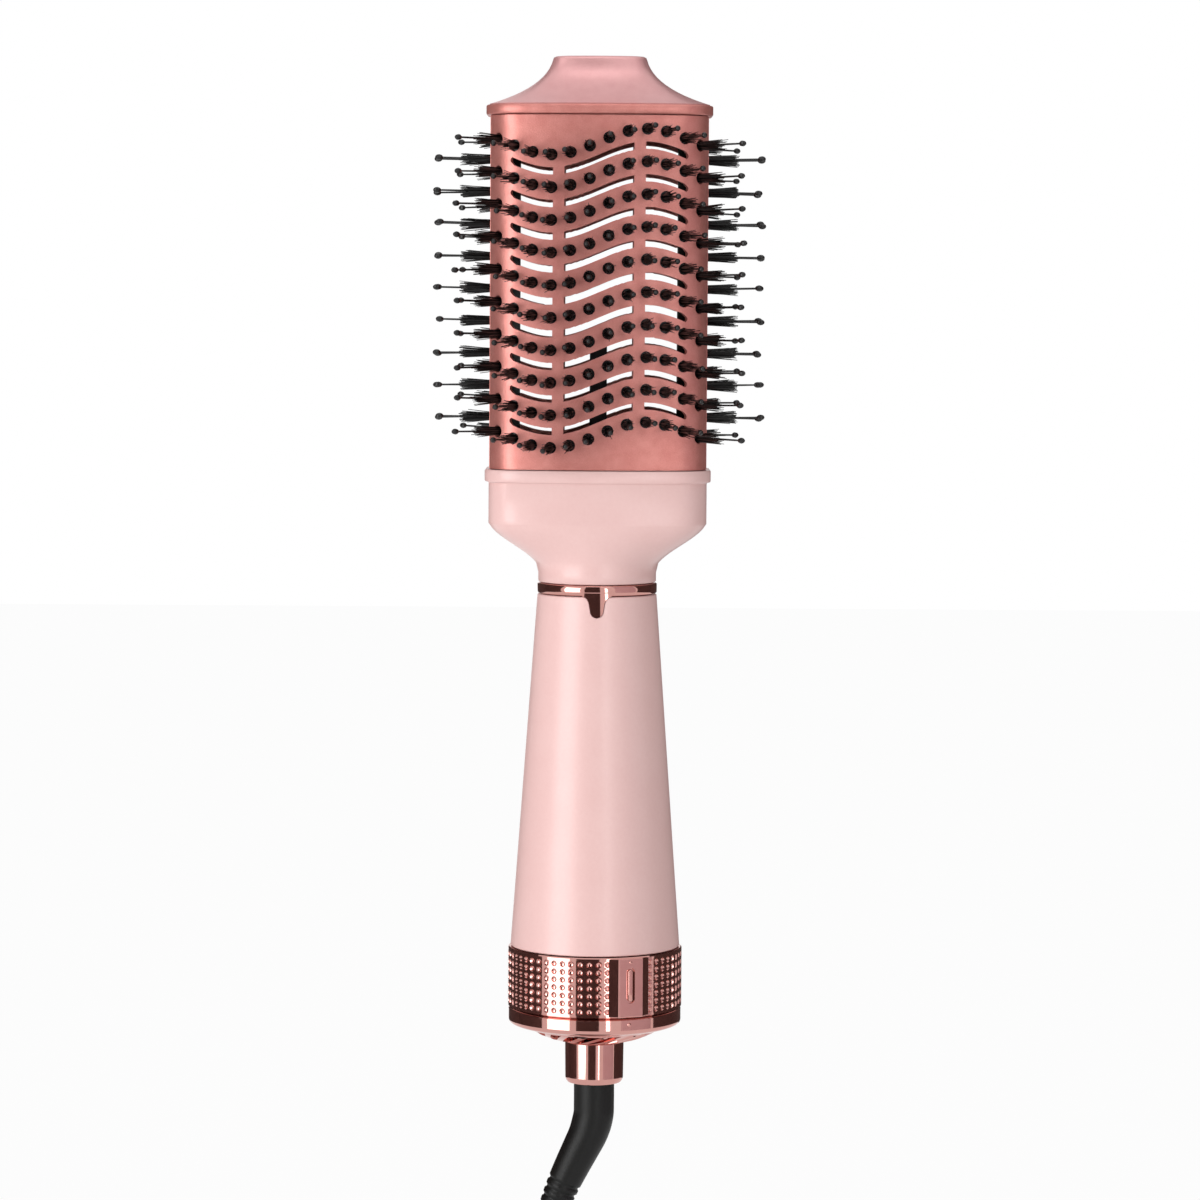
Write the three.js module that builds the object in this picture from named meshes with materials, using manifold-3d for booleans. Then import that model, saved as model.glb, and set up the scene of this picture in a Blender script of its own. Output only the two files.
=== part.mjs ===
// Hot air brush: an oval vented brush head on a tapered round handle, with its heater, fan,
// selector ring, swivelling lead and plug. Millimetres, +Z up along the brush's own axis,
// brush head up, front towards -Y, origin on the axis at the middle of the grip.
import * as THREE from 'three';
import { mergeVertices } from 'three/addons/utils/BufferGeometryUtils.js';
import Module from 'manifold-3d';

// ---- driving dimensions --------------------------------------------------------------
const GAP = 0.3; // clearance between pieces that touch

// handle
const GRIP_LENGTH = 116;
const GRIP_TOP_RADIUS = 19.5;
const GRIP_BOTTOM_RADIUS = 27.8;
const GRIP_WALL = 2.2;

// oval section of the brush head
const HALF_WIDTH = 35.3;
const HALF_DEPTH = 22.5;
const CROWN_RADIUS = 120;
const CORNER_RADIUS = 11.5;
const SHELL_WALL = 1.6;
const BARREL_LENGTH = 114;
const SEAM_SETBACK = 1.96; // how far a shell stops short of the flat side, along the section
const SEAM_CLEARANCE = 0.41; // between a shell's end and the side strip

// bristles
const ROWS = 10;
const COLUMNS = 12;
const COLUMN_PITCH = 6.17; // between tufts, along the section
const ROW_PITCH = 10.45;
const ROW_SHIFT = 1.4; // the middle of the rows above the middle of the barrel
const WAVE_HEIGHT = 4.2;
const WAVE_LENGTH = 61;
const TUFT_REACH = 19;
const TUFT_RADIUS = 1.4;
const TUFT_HOLE_RADIUS = 2.15;
const TUFT_SIDES = 4;
const BAR_THICKNESS = 1.2;
const BAR_HEIGHT = 5.2;
const EDGE_COLUMN_SPREAD = 10.4;

// air slots between the rows
const SLOT_HEIGHT = 2.3;
const SLOT_SPANS = [[-28.6, -14.9], [-11.2, 11.2], [14.9, 28.6]];

// side strips and the rails behind them
const RAIL_SETBACK = 0.9; // the rail's side inside the strip's edge
const RAIL_DEPTH = 7.7; // of the rail's channel
const RAIL_WALL = 1.5;

// tip cap
const CAP_RIM_HEIGHT = 3.2;
const CAP_FLARE_HEIGHT = 16;
const CAP_OVERHANG = 1.4;
const CAP_TOP_SCALE = 0.43;
const CAP_WALL = 2.2;
const CAP_SPIGOT = 1.6;

// collar between the barrel and the handle
const COLLAR_LIP_HEIGHT = 3.9;
const COLLAR_LIP_OVERHANG = 1.5;
const COLLAR_BODY_HEIGHT = 14;
const COLLAR_CONE_HEIGHT = 10.5;
const COLLAR_NECK_HEIGHT = 8.5;
const COLLAR_WALL = 2.2;
const COLLAR_SPIGOT = 4.5;
const DUCT_RADIUS = 14.5;
const TRIM_RING_HEIGHT = 3.4;
const TONGUE_TOP_WIDTH = 9.4;
const TONGUE_BOTTOM_WIDTH = 4.6;
const TONGUE_LENGTH = 6.6;
const TONGUE_DEPTH = 1.2;

// selector ring, inlet cap and swivel
const SELECTOR_HEIGHT = 19.8;
const SELECTOR_RADIUS = 28.6;
const SELECTOR_BORE = 25.2;
const SELECTOR_ANGLE = 23.5; // grip panel and index, degrees right of the front
const SELECTOR_TRAVEL = 72;
const PANEL_WIDTH = 11;
const PANEL_PROUD = 0.7;
const POINTER_WIDTH = 3.2;
const POINTER_LENGTH = 12;
const CORE_RADIUS = 24;
const CORE_WALL = 2;
const RIM_RADIUS = 28.4;
const RIM_HEIGHT = 4;
const DOME_HEIGHT = 7;
const DOME_WALL = 1.8;
const VANE_COUNT = 10;
const BUSH_RADIUS = 9.7;
const BUSH_LENGTH = 14;
const BOOT_RADIUS = 6.75;

// heater and fan
const SLEEVE_RADIUS = 16.4;
const SLEEVE_WALL = 0.8;
const SLEEVE_LENGTH = 40;
const COIL_RADIUS = 12.7;
const COIL_WIRE_RADIUS = 0.7;
const COIL_TURNS = 6;
const MICA_THICKNESS = 1;
const MOTOR_RADIUS = 13;
const MOTOR_LENGTH = 30;
const SHAFT_RADIUS = 1.15;
const IMPELLER_RADIUS = 19.6;
const IMPELLER_HEIGHT = 9;
const BLADE_COUNT = 8;
const VANES = 6; // guide vanes between the motor and the duct

// inner post
const POST_WIDTH = 5.6;
const POST_DEPTH = 4.4;
const POST_TOP_ABOVE_BARREL_FOOT = 40;

// lead, hank and plug
const LEAD_DIAMETER = 6.8;
const HANK_RUN = 104;
const HANK_LOOP_RADIUS = 20.5;
const HANK_WAIST = 7.4;
const HANK_THICKNESS = 43.6;
const HANK_DROP = 77.7; // the hank's top below the foot of the bush
const TIE_HEIGHT = 20;
const TIE_THICKNESS = 1.6;
const PLUG_LENGTH = 38;
const PLUG_RADIUS = 12;
const PLUG_NECK_RADIUS = 4.6;
const PLUG_DROP = 18.2; // the plug's top below the foot of the hank's straight runs
const BLADE_LENGTH = 17;
const BLADE_SPACING = 12.7;
const BLADE_WIDTH = 6.4;
const BLADE_THICKNESS = 1.6;
const SURFACE_INSET = 0.4; // the outer turns' surface inside the hank's faces

// ---- levels along the axis -----------------------------------------------------------
const GRIP_TOP = GRIP_LENGTH / 2 - 0.6;
const GRIP_BOTTOM = GRIP_TOP - GRIP_LENGTH;
const TRIM_BOTTOM = GRIP_TOP + GAP;
const COLLAR_FOOT = TRIM_BOTTOM + TRIM_RING_HEIGHT + GAP;
const CONE_FOOT = COLLAR_FOOT + COLLAR_NECK_HEIGHT;
const CONE_TOP = CONE_FOOT + COLLAR_CONE_HEIGHT;
const LIP_BOTTOM = CONE_TOP + COLLAR_BODY_HEIGHT;
const COLLAR_TOP = LIP_BOTTOM + COLLAR_LIP_HEIGHT;
const BARREL_BOTTOM = COLLAR_TOP + GAP;
const BARREL_TOP = BARREL_BOTTOM + BARREL_LENGTH;
const CAP_BOTTOM = BARREL_TOP + GAP;
const RIM_TOP_OF_CAP = CAP_BOTTOM + CAP_RIM_HEIGHT;
const CAP_TOP = RIM_TOP_OF_CAP + CAP_FLARE_HEIGHT;
const SELECTOR_TOP = GRIP_BOTTOM - GAP;
const SELECTOR_BOTTOM = SELECTOR_TOP - SELECTOR_HEIGHT;
const RIM_TOP = SELECTOR_BOTTOM - GAP;
const RIM_BOTTOM = RIM_TOP - RIM_HEIGHT;
const DOME_BOTTOM = RIM_BOTTOM - DOME_HEIGHT;
const CORE_TOP = GRIP_BOTTOM + 6;

// ---- materials -----------------------------------------------------------------------
function finish(color, roughness, metalness) {
  return new THREE.MeshStandardMaterial({ color, roughness, metalness, flatShading: true });
}

const satinRose = finish(0xc87f76, 0.35, 0.7);
const pinkGloss = finish(0xf0cdc8, 0.15, 0);
const roseChrome = finish(0xc9958c, 0.08, 1);
const blackNylon = finish(0x141414, 0.6, 0);
const blackRubber = finish(0x242422, 0.7, 0);
const steel = finish(0xb8babd, 0.3, 1);
const mica = finish(0xc9b88f, 0.6, 0);
const greenBoard = finish(0x2e6b3c, 0.5, 0);
const whitePlastic = finish(0xe6e4dd, 0.45, 0);
const nichrome = finish(0x8a8580, 0.4, 1);

const model = new THREE.Group();
const wasm = await Module();
wasm.setup();

// ---- solids, and how they are joined and cut -------------------------------------------
function signedVolume(positions, triangles) {
  const corners = [new THREE.Vector3(), new THREE.Vector3(), new THREE.Vector3()];
  let sum = 0;
  for (let i = 0; i < triangles.length; i += 3) {
    corners.forEach((corner, k) => corner.fromArray(positions, triangles[i + k] * 3));
    sum += corners[0].dot(corners[1].cross(corners[2]));
  }
  return sum / 6;
}

// A closed geometry as a solid, with its faces turned outwards.
function solid(geometry) {
  const bare = geometry.clone();
  bare.deleteAttribute('normal');
  bare.deleteAttribute('uv');
  const merged = mergeVertices(bare, 1e-4);
  const vertProperties = new Float32Array(merged.attributes.position.array);
  let triVerts = Uint32Array.from(merged.index.array);
  if (signedVolume(vertProperties, triVerts) < 0) {
    triVerts = triVerts.reverse();
  }
  const kept = [];
  for (let i = 0; i < triVerts.length; i += 3) {
    const [a, b, c] = triVerts.slice(i, i + 3);
    if (a !== b && b !== c && c !== a) kept.push(a, b, c);
  }
  const mesh = new wasm.Mesh({ numProp: 3, vertProperties, triVerts: Uint32Array.from(kept) });
  mesh.merge();
  return new wasm.Manifold(mesh);
}

function join(solids) {
  return solids.reduce((sum, next) => sum.add(next));
}

function cut(body, tools) {
  return body.subtract(join(tools));
}

// Adds a finished solid to the model as the named piece.
function piece(name, body, material) {
  const { vertProperties, triVerts } = body.getMesh();
  const geometry = new THREE.BufferGeometry();
  geometry.setAttribute('position', new THREE.BufferAttribute(vertProperties, 3));
  geometry.setIndex(new THREE.BufferAttribute(triVerts, 1));
  geometry.computeVertexNormals();
  const mesh = new THREE.Mesh(geometry, material);
  mesh.name = name;
  model.add(mesh);
}

function box(x0, x1, y0, y1, z0, z1) {
  const geometry = new THREE.BoxGeometry(x1 - x0, y1 - y0, z1 - z0);
  return solid(geometry.translate((x0 + x1) / 2, (y0 + y1) / 2, (z0 + z1) / 2));
}

// A turned solid about Z from [radius, z] points; a ring's outline is closed on itself.
function turned(points, segments) {
  const outline = points.map(([radius, z]) => new THREE.Vector2(radius, z));
  if (points[0][0] > 0) outline.push(outline[0].clone());
  return solid(new THREE.LatheGeometry(outline, segments).rotateX(Math.PI / 2));
}

function tube(outer, inner, z0, z1, segments) {
  return turned([[inner, z0], [outer, z0], [outer, z1], [inner, z1]], segments);
}

function disc(radius, z0, z1, segments) {
  return turned([[0, z0], [radius, z0], [radius, z1], [0, z1]], segments);
}

// A shape drawn in X and Z, extruded along Y from y0 to y1.
function slab(points, y0, y1) {
  const shape = new THREE.Shape(points.map(([x, z]) => new THREE.Vector2(x, z)));
  const geometry = new THREE.ExtrudeGeometry(shape, { depth: y1 - y0, bevelEnabled: false });
  return solid(geometry.rotateX(Math.PI / 2).translate(0, y1, 0));
}

// A shape drawn in X and Y, extruded along Z from z0 to z1.
function prism(points, z0, z1) {
  const shape = new THREE.Shape(points.map(([x, y]) => new THREE.Vector2(x, y)));
  const geometry = new THREE.ExtrudeGeometry(shape, { depth: z1 - z0, bevelEnabled: false });
  return solid(geometry.translate(0, 0, z0));
}

function turn(geometry, degrees) {
  return geometry.rotateZ(THREE.MathUtils.degToRad(degrees));
}

// ---- the oval section ------------------------------------------------------------------
// A quarter of it is a crown arc, a corner arc and a flat side. Distances along the section
// run from the middle of the front, positive towards +X.
const CROWN_ANGLE = Math.asin((HALF_WIDTH - CORNER_RADIUS) / (CROWN_RADIUS - CORNER_RADIUS));
const CROWN_ARC = CROWN_RADIUS * CROWN_ANGLE;
const CORNER_X = (CROWN_RADIUS - CORNER_RADIUS) * Math.sin(CROWN_ANGLE);
const CORNER_Y = HALF_DEPTH - CROWN_RADIUS + (CROWN_RADIUS - CORNER_RADIUS) * Math.cos(CROWN_ANGLE);
const CORNER_ARC = CORNER_RADIUS * (Math.PI / 2 - CROWN_ANGLE);
const SEAM = CROWN_ARC + CORNER_ARC - SEAM_SETBACK; // where a barrel shell ends
const FACET_PITCH = SEAM / 6.5; // a facet round the corner, where they are shortest
const FACET_SAG = FACET_PITCH ** 2 / (8 * CORNER_RADIUS); // the barrel's facets inside its section

// The point at a distance along the front, moved in from the outer surface by inset.
function sectionPoint(distance, inset) {
  const side = Math.sign(distance) || 1;
  const along = Math.abs(distance);
  if (along <= CROWN_ARC) {
    const angle = along / CROWN_RADIUS;
    const radius = CROWN_RADIUS - inset;
    return [side * radius * Math.sin(angle), CROWN_RADIUS - HALF_DEPTH - radius * Math.cos(angle)];
  }
  const angle = Math.min(CROWN_ANGLE + (along - CROWN_ARC) / CORNER_RADIUS, Math.PI / 2);
  const radius = CORNER_RADIUS - inset;
  return [side * (CORNER_X + radius * Math.sin(angle)), -CORNER_Y - radius * Math.cos(angle)];
}

// The distance from the axis to the section in the direction of an angle from the front.
function sectionRadius(angle, inset) {
  const sx = Math.abs(Math.sin(angle));
  const sy = Math.abs(Math.cos(angle));
  const flat = (HALF_WIDTH - inset) / Math.max(sx, 1e-9);
  if (flat * sy <= CORNER_Y) return flat;
  const onCircle = (cx, cy, radius) => {
    const along = cx * sx + cy * sy;
    return along + Math.sqrt(Math.max(radius * radius - cx * cx - cy * cy + along * along, 0));
  };
  const corner = onCircle(CORNER_X, CORNER_Y, CORNER_RADIUS - inset);
  if (corner * sx >= (CROWN_RADIUS - inset) * Math.sin(CROWN_ANGLE)) return corner;
  return onCircle(0, HALF_DEPTH - CROWN_RADIUS, CROWN_RADIUS - inset);
}

// Stations of a lofted outline: oval ones follow the section, round ones are circles.
function oval(inset, z, scale = 1) {
  return { z, radius: (angle) => scale * sectionRadius(angle, inset) };
}

function round(radius, z) {
  return { z, radius: () => radius };
}

function between(lower, upper, share, z) {
  const radius = (angle) => lower.radius(angle) * (1 - share) + upper.radius(angle) * share;
  return { z, radius };
}

const AXIS = (z) => round(0, z);

function loft(stations, segments) {
  const closed = stations[0].radius(0) > 0 ? [...stations, stations[0]] : stations;
  const outline = closed.map((station) => new THREE.Vector2(station.radius(0), station.z));
  const geometry = new THREE.LatheGeometry(outline, segments);
  const position = geometry.attributes.position;
  for (let segment = 0; segment <= segments; segment += 1) {
    const angle = ((segment % segments) / segments) * 2 * Math.PI;
    closed.forEach((station, k) => {
      const radius = station.radius(angle);
      const index = segment * closed.length + k;
      position.setXYZ(index, radius * Math.sin(angle), -radius * Math.cos(angle), station.z);
    });
  }
  return solid(geometry);
}

// ---- bristle rows, tuft holes and slots --------------------------------------------------
// The rows and the slots between them rise and fall together across the barrel.
function wave(x) {
  return WAVE_HEIGHT * Math.sin((2 * Math.PI * x) / WAVE_LENGTH);
}

const BAR_END = 6 * FACET_PITCH;
const FACETS = [-6.5, -6, -5, -4, -2, 0, 2, 4, 5, 6, 6.5].map((n) => n * FACET_PITCH);
const BAR_FACETS = FACETS.filter((distance) => Math.abs(distance) <= BAR_END);
const ROW_MIDDLE = (BARREL_BOTTOM + BARREL_TOP) / 2 + ROW_SHIFT;
const rowLevel = (row) => ROW_MIDDLE + ((ROWS - 1) / 2 - row) * ROW_PITCH;

// Where a column meets the facet that it stands on, and the facet's outward direction.
// facing is -1 on the front and +1 on the rear.
function columnSeat(column, facing) {
  const distance = (column - (COLUMNS - 1) / 2) * COLUMN_PITCH;
  const k = FACETS.findIndex((edge) => edge > distance);
  const [x0, y0] = sectionPoint(FACETS[k - 1], 0);
  const [x1, y1] = sectionPoint(FACETS[k], 0);
  const share = (distance - FACETS[k - 1]) / (FACETS[k] - FACETS[k - 1]);
  const out = new THREE.Vector3(y1 - y0, x0 - x1, 0).normalize();
  const x = x0 + (x1 - x0) * share;
  const y = y0 + (y1 - y0) * share;
  return { x, y: -facing * y, out: new THREE.Vector3(out.x, -facing * out.y, 0) };
}

// Turns a geometry built along +Y to point along a direction, and moves it.
function aim(geometry, out, x, y, z) {
  const turnTo = new THREE.Quaternion().setFromUnitVectors(new THREE.Vector3(0, 1, 0), out);
  return geometry.applyQuaternion(turnTo).translate(x, y, z);
}

const STRIP_HALF_WIDTH = -sectionPoint(SEAM, 0)[1] - SEAM_CLEARANCE;
const RAIL_HALF_WIDTH = STRIP_HALF_WIDTH - RAIL_SETBACK;
const RAIL_REACH = HALF_WIDTH - SHELL_WALL - GAP - RAIL_DEPTH;
const CARRIER_DEPTH = SHELL_WALL + GAP + BAR_THICKNESS / 2; // a tuft's root under the surface

function tuft({ x, y, out }, z, rootDepth = CARRIER_DEPTH) {
  const length = TUFT_REACH + rootDepth;
  const middle = TUFT_REACH - length / 2;
  const geometry = new THREE.ConeGeometry(TUFT_RADIUS, length, TUFT_SIDES);
  return solid(aim(geometry, out, x + out.x * middle, y + out.y * middle, z));
}

function tuftHole({ x, y, out }, z) {
  const length = 3 * SHELL_WALL;
  const geometry = new THREE.CylinderGeometry(TUFT_HOLE_RADIUS, TUFT_HOLE_RADIUS, length, TUFT_SIDES);
  return solid(aim(geometry, out, x, y, z));
}

// One slot's outline: a wavy band. Slots beside the middle one end in a nose on their outer side.
function slot([x0, x1], z) {
  const half = SLOT_HEIGHT / 2;
  const stations = [x0, (x0 + x1) / 2, x1];
  const upper = stations.map((x) => [x, z + wave(x) + half]);
  const lower = stations.map((x) => [x, z + wave(x) - half]).reverse();
  if (x0 === -x1) return [...upper, ...lower];
  const outerEnd = Math.abs(x0) > Math.abs(x1) ? x0 : x1;
  const nose = [outerEnd + Math.sign(outerEnd) * half, z + wave(outerEnd)];
  return outerEnd === x1 ? [...upper, nose, ...lower] : [nose, ...upper, ...lower];
}

function barrelShell(name, facing) {
  const outer = FACETS.map((distance) => sectionPoint(distance, 0));
  const inner = FACETS.map((distance) => sectionPoint(distance, SHELL_WALL)).reverse();
  const outline = [...outer, ...inner].map(([x, y]) => [x, -facing * y]);
  const tools = [];
  for (let row = 0; row < ROWS; row += 1) {
    for (let column = 0; column < COLUMNS; column += 1) {
      const seat = columnSeat(column, facing);
      tools.push(tuftHole(seat, rowLevel(row) + wave(seat.x)));
    }
    if (row < ROWS - 1) {
      const level = rowLevel(row) - ROW_PITCH / 2;
      const [y0, y1] = facing < 0 ? [-HALF_DEPTH - 1, 0] : [0, HALF_DEPTH + 1];
      SLOT_SPANS.forEach((span) => tools.push(slab(slot(span, level), y0, y1)));
    }
  }
  piece(name, cut(prism(outline, BARREL_BOTTOM, BARREL_TOP), tools), satinRose);
}

function bristleRow(name, facing, row) {
  const outer = BAR_FACETS.map((distance) => sectionPoint(distance, SHELL_WALL + GAP));
  const inset = SHELL_WALL + GAP + BAR_THICKNESS;
  const inner = BAR_FACETS.map((distance) => sectionPoint(distance, inset)).reverse();
  const outline = [...outer, ...inner].map(([x, y]) => new THREE.Vector2(x, -facing * y));
  const shape = new THREE.Shape(outline);
  const bar = new THREE.ExtrudeGeometry(shape, { depth: BAR_HEIGHT, bevelEnabled: false });
  const position = bar.attributes.position;
  for (let i = 0; i < position.count; i += 1) {
    position.setZ(i, position.getZ(i) - BAR_HEIGHT / 2 + rowLevel(row) + wave(position.getX(i)));
  }
  const tufts = [];
  for (let column = 0; column < COLUMNS; column += 1) {
    const seat = columnSeat(column, facing);
    tufts.push(tuft(seat, rowLevel(row) + wave(seat.x)));
  }
  piece(name, join([solid(bar), ...tufts]), blackNylon);
}

// The narrow strip between the two shells, and the channel rail that carries its tufts.
function edgeSeats(side) {
  const out = new THREE.Vector3(side, 0, 0);
  return [-0.5, 0.5].map((n) => ({ x: side * HALF_WIDTH, y: n * EDGE_COLUMN_SPREAD, out }));
}

function sideStrip(name, side) {
  const skin = [side * HALF_WIDTH, side * (HALF_WIDTH - SHELL_WALL)].sort((a, b) => a - b);
  const strip = box(...skin, -STRIP_HALF_WIDTH, STRIP_HALF_WIDTH, BARREL_BOTTOM, BARREL_TOP);
  const tools = [];
  for (let row = 0; row < ROWS - 1; row += 1) {
    edgeSeats(side).forEach((seat) => tools.push(tuftHole(seat, rowLevel(row) - ROW_PITCH / 2)));
  }
  piece(name, cut(strip, tools), satinRose);
}

function edgeRail(name, side) {
  const face = HALF_WIDTH - SHELL_WALL - GAP;
  const z0 = COLLAR_TOP + COLLAR_SPIGOT + GAP;
  const z1 = CAP_BOTTOM - CAP_SPIGOT - GAP;
  const outline = [
    [face, -RAIL_HALF_WIDTH], [face, RAIL_HALF_WIDTH], [RAIL_REACH, RAIL_HALF_WIDTH],
    [RAIL_REACH, RAIL_HALF_WIDTH - RAIL_WALL], [face - RAIL_WALL, RAIL_HALF_WIDTH - RAIL_WALL],
    [face - RAIL_WALL, RAIL_WALL - RAIL_HALF_WIDTH], [RAIL_REACH, RAIL_WALL - RAIL_HALF_WIDTH],
    [RAIL_REACH, -RAIL_HALF_WIDTH],
  ];
  const rail = prism(outline.map(([x, y]) => [side * x, y]), z0, z1);
  const tufts = [];
  for (let row = 0; row < ROWS - 1; row += 1) {
    edgeSeats(side).forEach((seat) => {
      tufts.push(tuft(seat, rowLevel(row) - ROW_PITCH / 2, SHELL_WALL + GAP + RAIL_WALL / 2));
    });
  }
  piece(name, join([rail, ...tufts]), blackNylon);
}

barrelShell('front_barrel_shell', -1);
barrelShell('rear_barrel_shell', 1);
for (let row = 0; row < ROWS; row += 1) {
  bristleRow(`front_bristle_row_${row + 1}`, -1, row);
  bristleRow(`rear_bristle_row_${row + 1}`, 1, row);
}
sideStrip('left_side_strip', -1);
sideStrip('right_side_strip', 1);
edgeRail('left_edge_bristles', -1);
edgeRail('right_edge_bristles', 1);

// ---- tip cap: a flared oval shell with a shallow spigot in the barrel's mouth --------------
const LOFT_SEGMENTS = 24;

function tipCap() {
  const rim = oval(-CAP_OVERHANG, CAP_BOTTOM);
  const waist = CAP_TOP_SCALE + 0.065;
  const flare = new THREE.QuadraticBezierCurve(
    new THREE.Vector2((HALF_WIDTH + CAP_OVERHANG - 0.3) / HALF_WIDTH, RIM_TOP_OF_CAP),
    new THREE.Vector2(waist, RIM_TOP_OF_CAP + CAP_FLARE_HEIGHT * 0.36),
    new THREE.Vector2(CAP_TOP_SCALE, CAP_TOP - 0.8),
  );
  const sides = flare.getPoints(4).map((point) => oval(0, point.y, point.x));
  const skin = SHELL_WALL + GAP + FACET_SAG;
  const body = loft([
    AXIS(CAP_BOTTOM), rim, { ...rim, z: RIM_TOP_OF_CAP - 0.6 }, ...sides,
    oval(0, CAP_TOP, CAP_TOP_SCALE - 0.025), AXIS(CAP_TOP),
  ], LOFT_SEGMENTS);
  const spigot = loft([oval(skin, CAP_BOTTOM - CAP_SPIGOT), oval(skin, CAP_BOTTOM + 0.5),
    oval(skin + CAP_WALL, CAP_BOTTOM + 0.5), oval(skin + CAP_WALL, CAP_BOTTOM - CAP_SPIGOT)],
  LOFT_SEGMENTS);
  const hollow = loft([
    AXIS(CAP_BOTTOM - 1), oval(skin + CAP_WALL, CAP_BOTTOM - 1), oval(skin + CAP_WALL, CAP_BOTTOM + 1),
    oval(0, CAP_BOTTOM + 0.45 * CAP_FLARE_HEIGHT, 0.55), AXIS(CAP_BOTTOM + 0.45 * CAP_FLARE_HEIGHT),
  ], LOFT_SEGMENTS);
  piece('tip_cap', body.add(spigot).subtract(hollow), satinRose);
}
tipCap();

// ---- collar: oval lip and body, cone to a round neck, spigots into the barrel and handle ---
const HANDLE_SPIGOT_BOTTOM = GRIP_TOP - 8;

function barrelCollar() {
  const neck = round(GRIP_TOP_RADIUS - 0.2, COLLAR_FOOT);
  const shoulder = oval(-0.2, CONE_TOP);
  const skin = SHELL_WALL + GAP + FACET_SAG;
  const cone = (share, z) => between(neck, shoulder, share, z);
  const stations = [
    round(DUCT_RADIUS, HANDLE_SPIGOT_BOTTOM), round(DUCT_RADIUS + COLLAR_WALL, HANDLE_SPIGOT_BOTTOM),
    round(DUCT_RADIUS + COLLAR_WALL, COLLAR_FOOT), neck, cone(0.03, CONE_FOOT - 2),
    cone(0.24, CONE_FOOT + 0.14 * COLLAR_CONE_HEIGHT), cone(0.95, CONE_TOP - 0.8),
    { ...shoulder, z: CONE_TOP + 0.6 }, { ...shoulder, z: LIP_BOTTOM },
    oval(-COLLAR_LIP_OVERHANG, LIP_BOTTOM + 0.2), oval(-COLLAR_LIP_OVERHANG, COLLAR_TOP),
    oval(skin, COLLAR_TOP),
    oval(skin, COLLAR_TOP + COLLAR_SPIGOT), oval(skin + COLLAR_WALL, COLLAR_TOP + COLLAR_SPIGOT),
    oval(skin + COLLAR_WALL, CONE_TOP), round(DUCT_RADIUS, CONE_FOOT),
  ];
  piece('barrel_collar', loft(stations, LOFT_SEGMENTS), pinkGloss);
}
barrelCollar();

// The inner post stands on a three-armed spider in the collar's duct.
function innerPost() {
  const foot = CONE_FOOT - 5;
  const top = BARREL_BOTTOM + POST_TOP_ABOVE_BARREL_FOOT;
  const post = box(-POST_WIDTH / 2, POST_WIDTH / 2, -POST_DEPTH / 2, POST_DEPTH / 2, foot, top);
  const arms = [0, 120, 240].map((degrees) => {
    const arm = new THREE.BoxGeometry(2, DUCT_RADIUS - GAP, 3);
    arm.translate(0, (DUCT_RADIUS - GAP) / 2, foot + 1.5);
    return solid(turn(arm, degrees));
  });
  piece('inner_post', join([post, ...arms]), blackNylon);
  piece('temperature_sensor', disc(1.8, top + GAP, top + GAP + 4.5, 10), whitePlastic);
}
innerPost();

// ---- handle: two shells that meet at the sides, under a trim ring with a tongue -------------
const gripRadius = (z) => GRIP_TOP_RADIUS
  + ((GRIP_TOP - z) / GRIP_LENGTH) * (GRIP_BOTTOM_RADIUS - GRIP_TOP_RADIUS);
const GRIP_SEGMENTS = 32;

// The tongue's outline in X and Z, grown by a clearance.
function tongueOutline(grow) {
  const top = TRIM_BOTTOM + 1;
  const tip = GRIP_TOP - TONGUE_LENGTH - grow;
  const a = TONGUE_TOP_WIDTH / 2 + grow;
  const b = TONGUE_BOTTOM_WIDTH / 2 + grow;
  return [[-a, top], [-b, tip + b], [-b * 0.7, tip + b * 0.3], [0, tip],
    [b * 0.7, tip + b * 0.3], [b, tip + b], [a, top]];
}

function trimRing() {
  const outer = GRIP_TOP_RADIUS + 0.1;
  const top = TRIM_BOTTOM + TRIM_RING_HEIGHT;
  const bore = DUCT_RADIUS + COLLAR_WALL + GAP;
  const ring = tube(outer, bore, TRIM_BOTTOM, top, GRIP_SEGMENTS);
  const low = GRIP_TOP - TONGUE_LENGTH - 1;
  const skin = turned([
    [gripRadius(low) - TONGUE_DEPTH, low], [gripRadius(low), low],
    [outer, TRIM_BOTTOM + 1], [outer - TONGUE_DEPTH, TRIM_BOTTOM + 1],
  ], GRIP_SEGMENTS);
  const tongue = skin.intersect(slab(tongueOutline(0), -outer - 9, -10));
  piece('trim_ring', ring.add(tongue), roseChrome);
}
trimRing();

function handleShell(name, facing) {
  const sleeve = turned([
    [gripRadius(GRIP_BOTTOM) - GRIP_WALL, GRIP_BOTTOM], [gripRadius(GRIP_BOTTOM), GRIP_BOTTOM],
    [GRIP_TOP_RADIUS, GRIP_TOP], [GRIP_TOP_RADIUS - GRIP_WALL, GRIP_TOP],
  ], GRIP_SEGMENTS);
  const reach = GRIP_BOTTOM_RADIUS + 5;
  const away = facing < 0 ? [-GAP / 2, reach] : [-reach, GAP / 2];
  const tools = [box(-reach, reach, ...away, GRIP_BOTTOM - 1, GRIP_TOP + 1)];
  if (facing < 0) {
    const low = GRIP_TOP - TONGUE_LENGTH - 2;
    const depth = TONGUE_DEPTH + GAP;
    const pocket = turned([
      [gripRadius(low) - depth, low], [gripRadius(low) + 3, low],
      [GRIP_TOP_RADIUS + 3, GRIP_TOP + 2], [GRIP_TOP_RADIUS - depth, GRIP_TOP + 2],
    ], GRIP_SEGMENTS);
    tools.push(pocket.intersect(slab(tongueOutline(GAP), -reach, -10)));
  }
  piece(name, cut(sleeve, tools), pinkGloss);
}
handleShell('handle_front_shell', -1);
handleShell('handle_rear_shell', 1);

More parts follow.
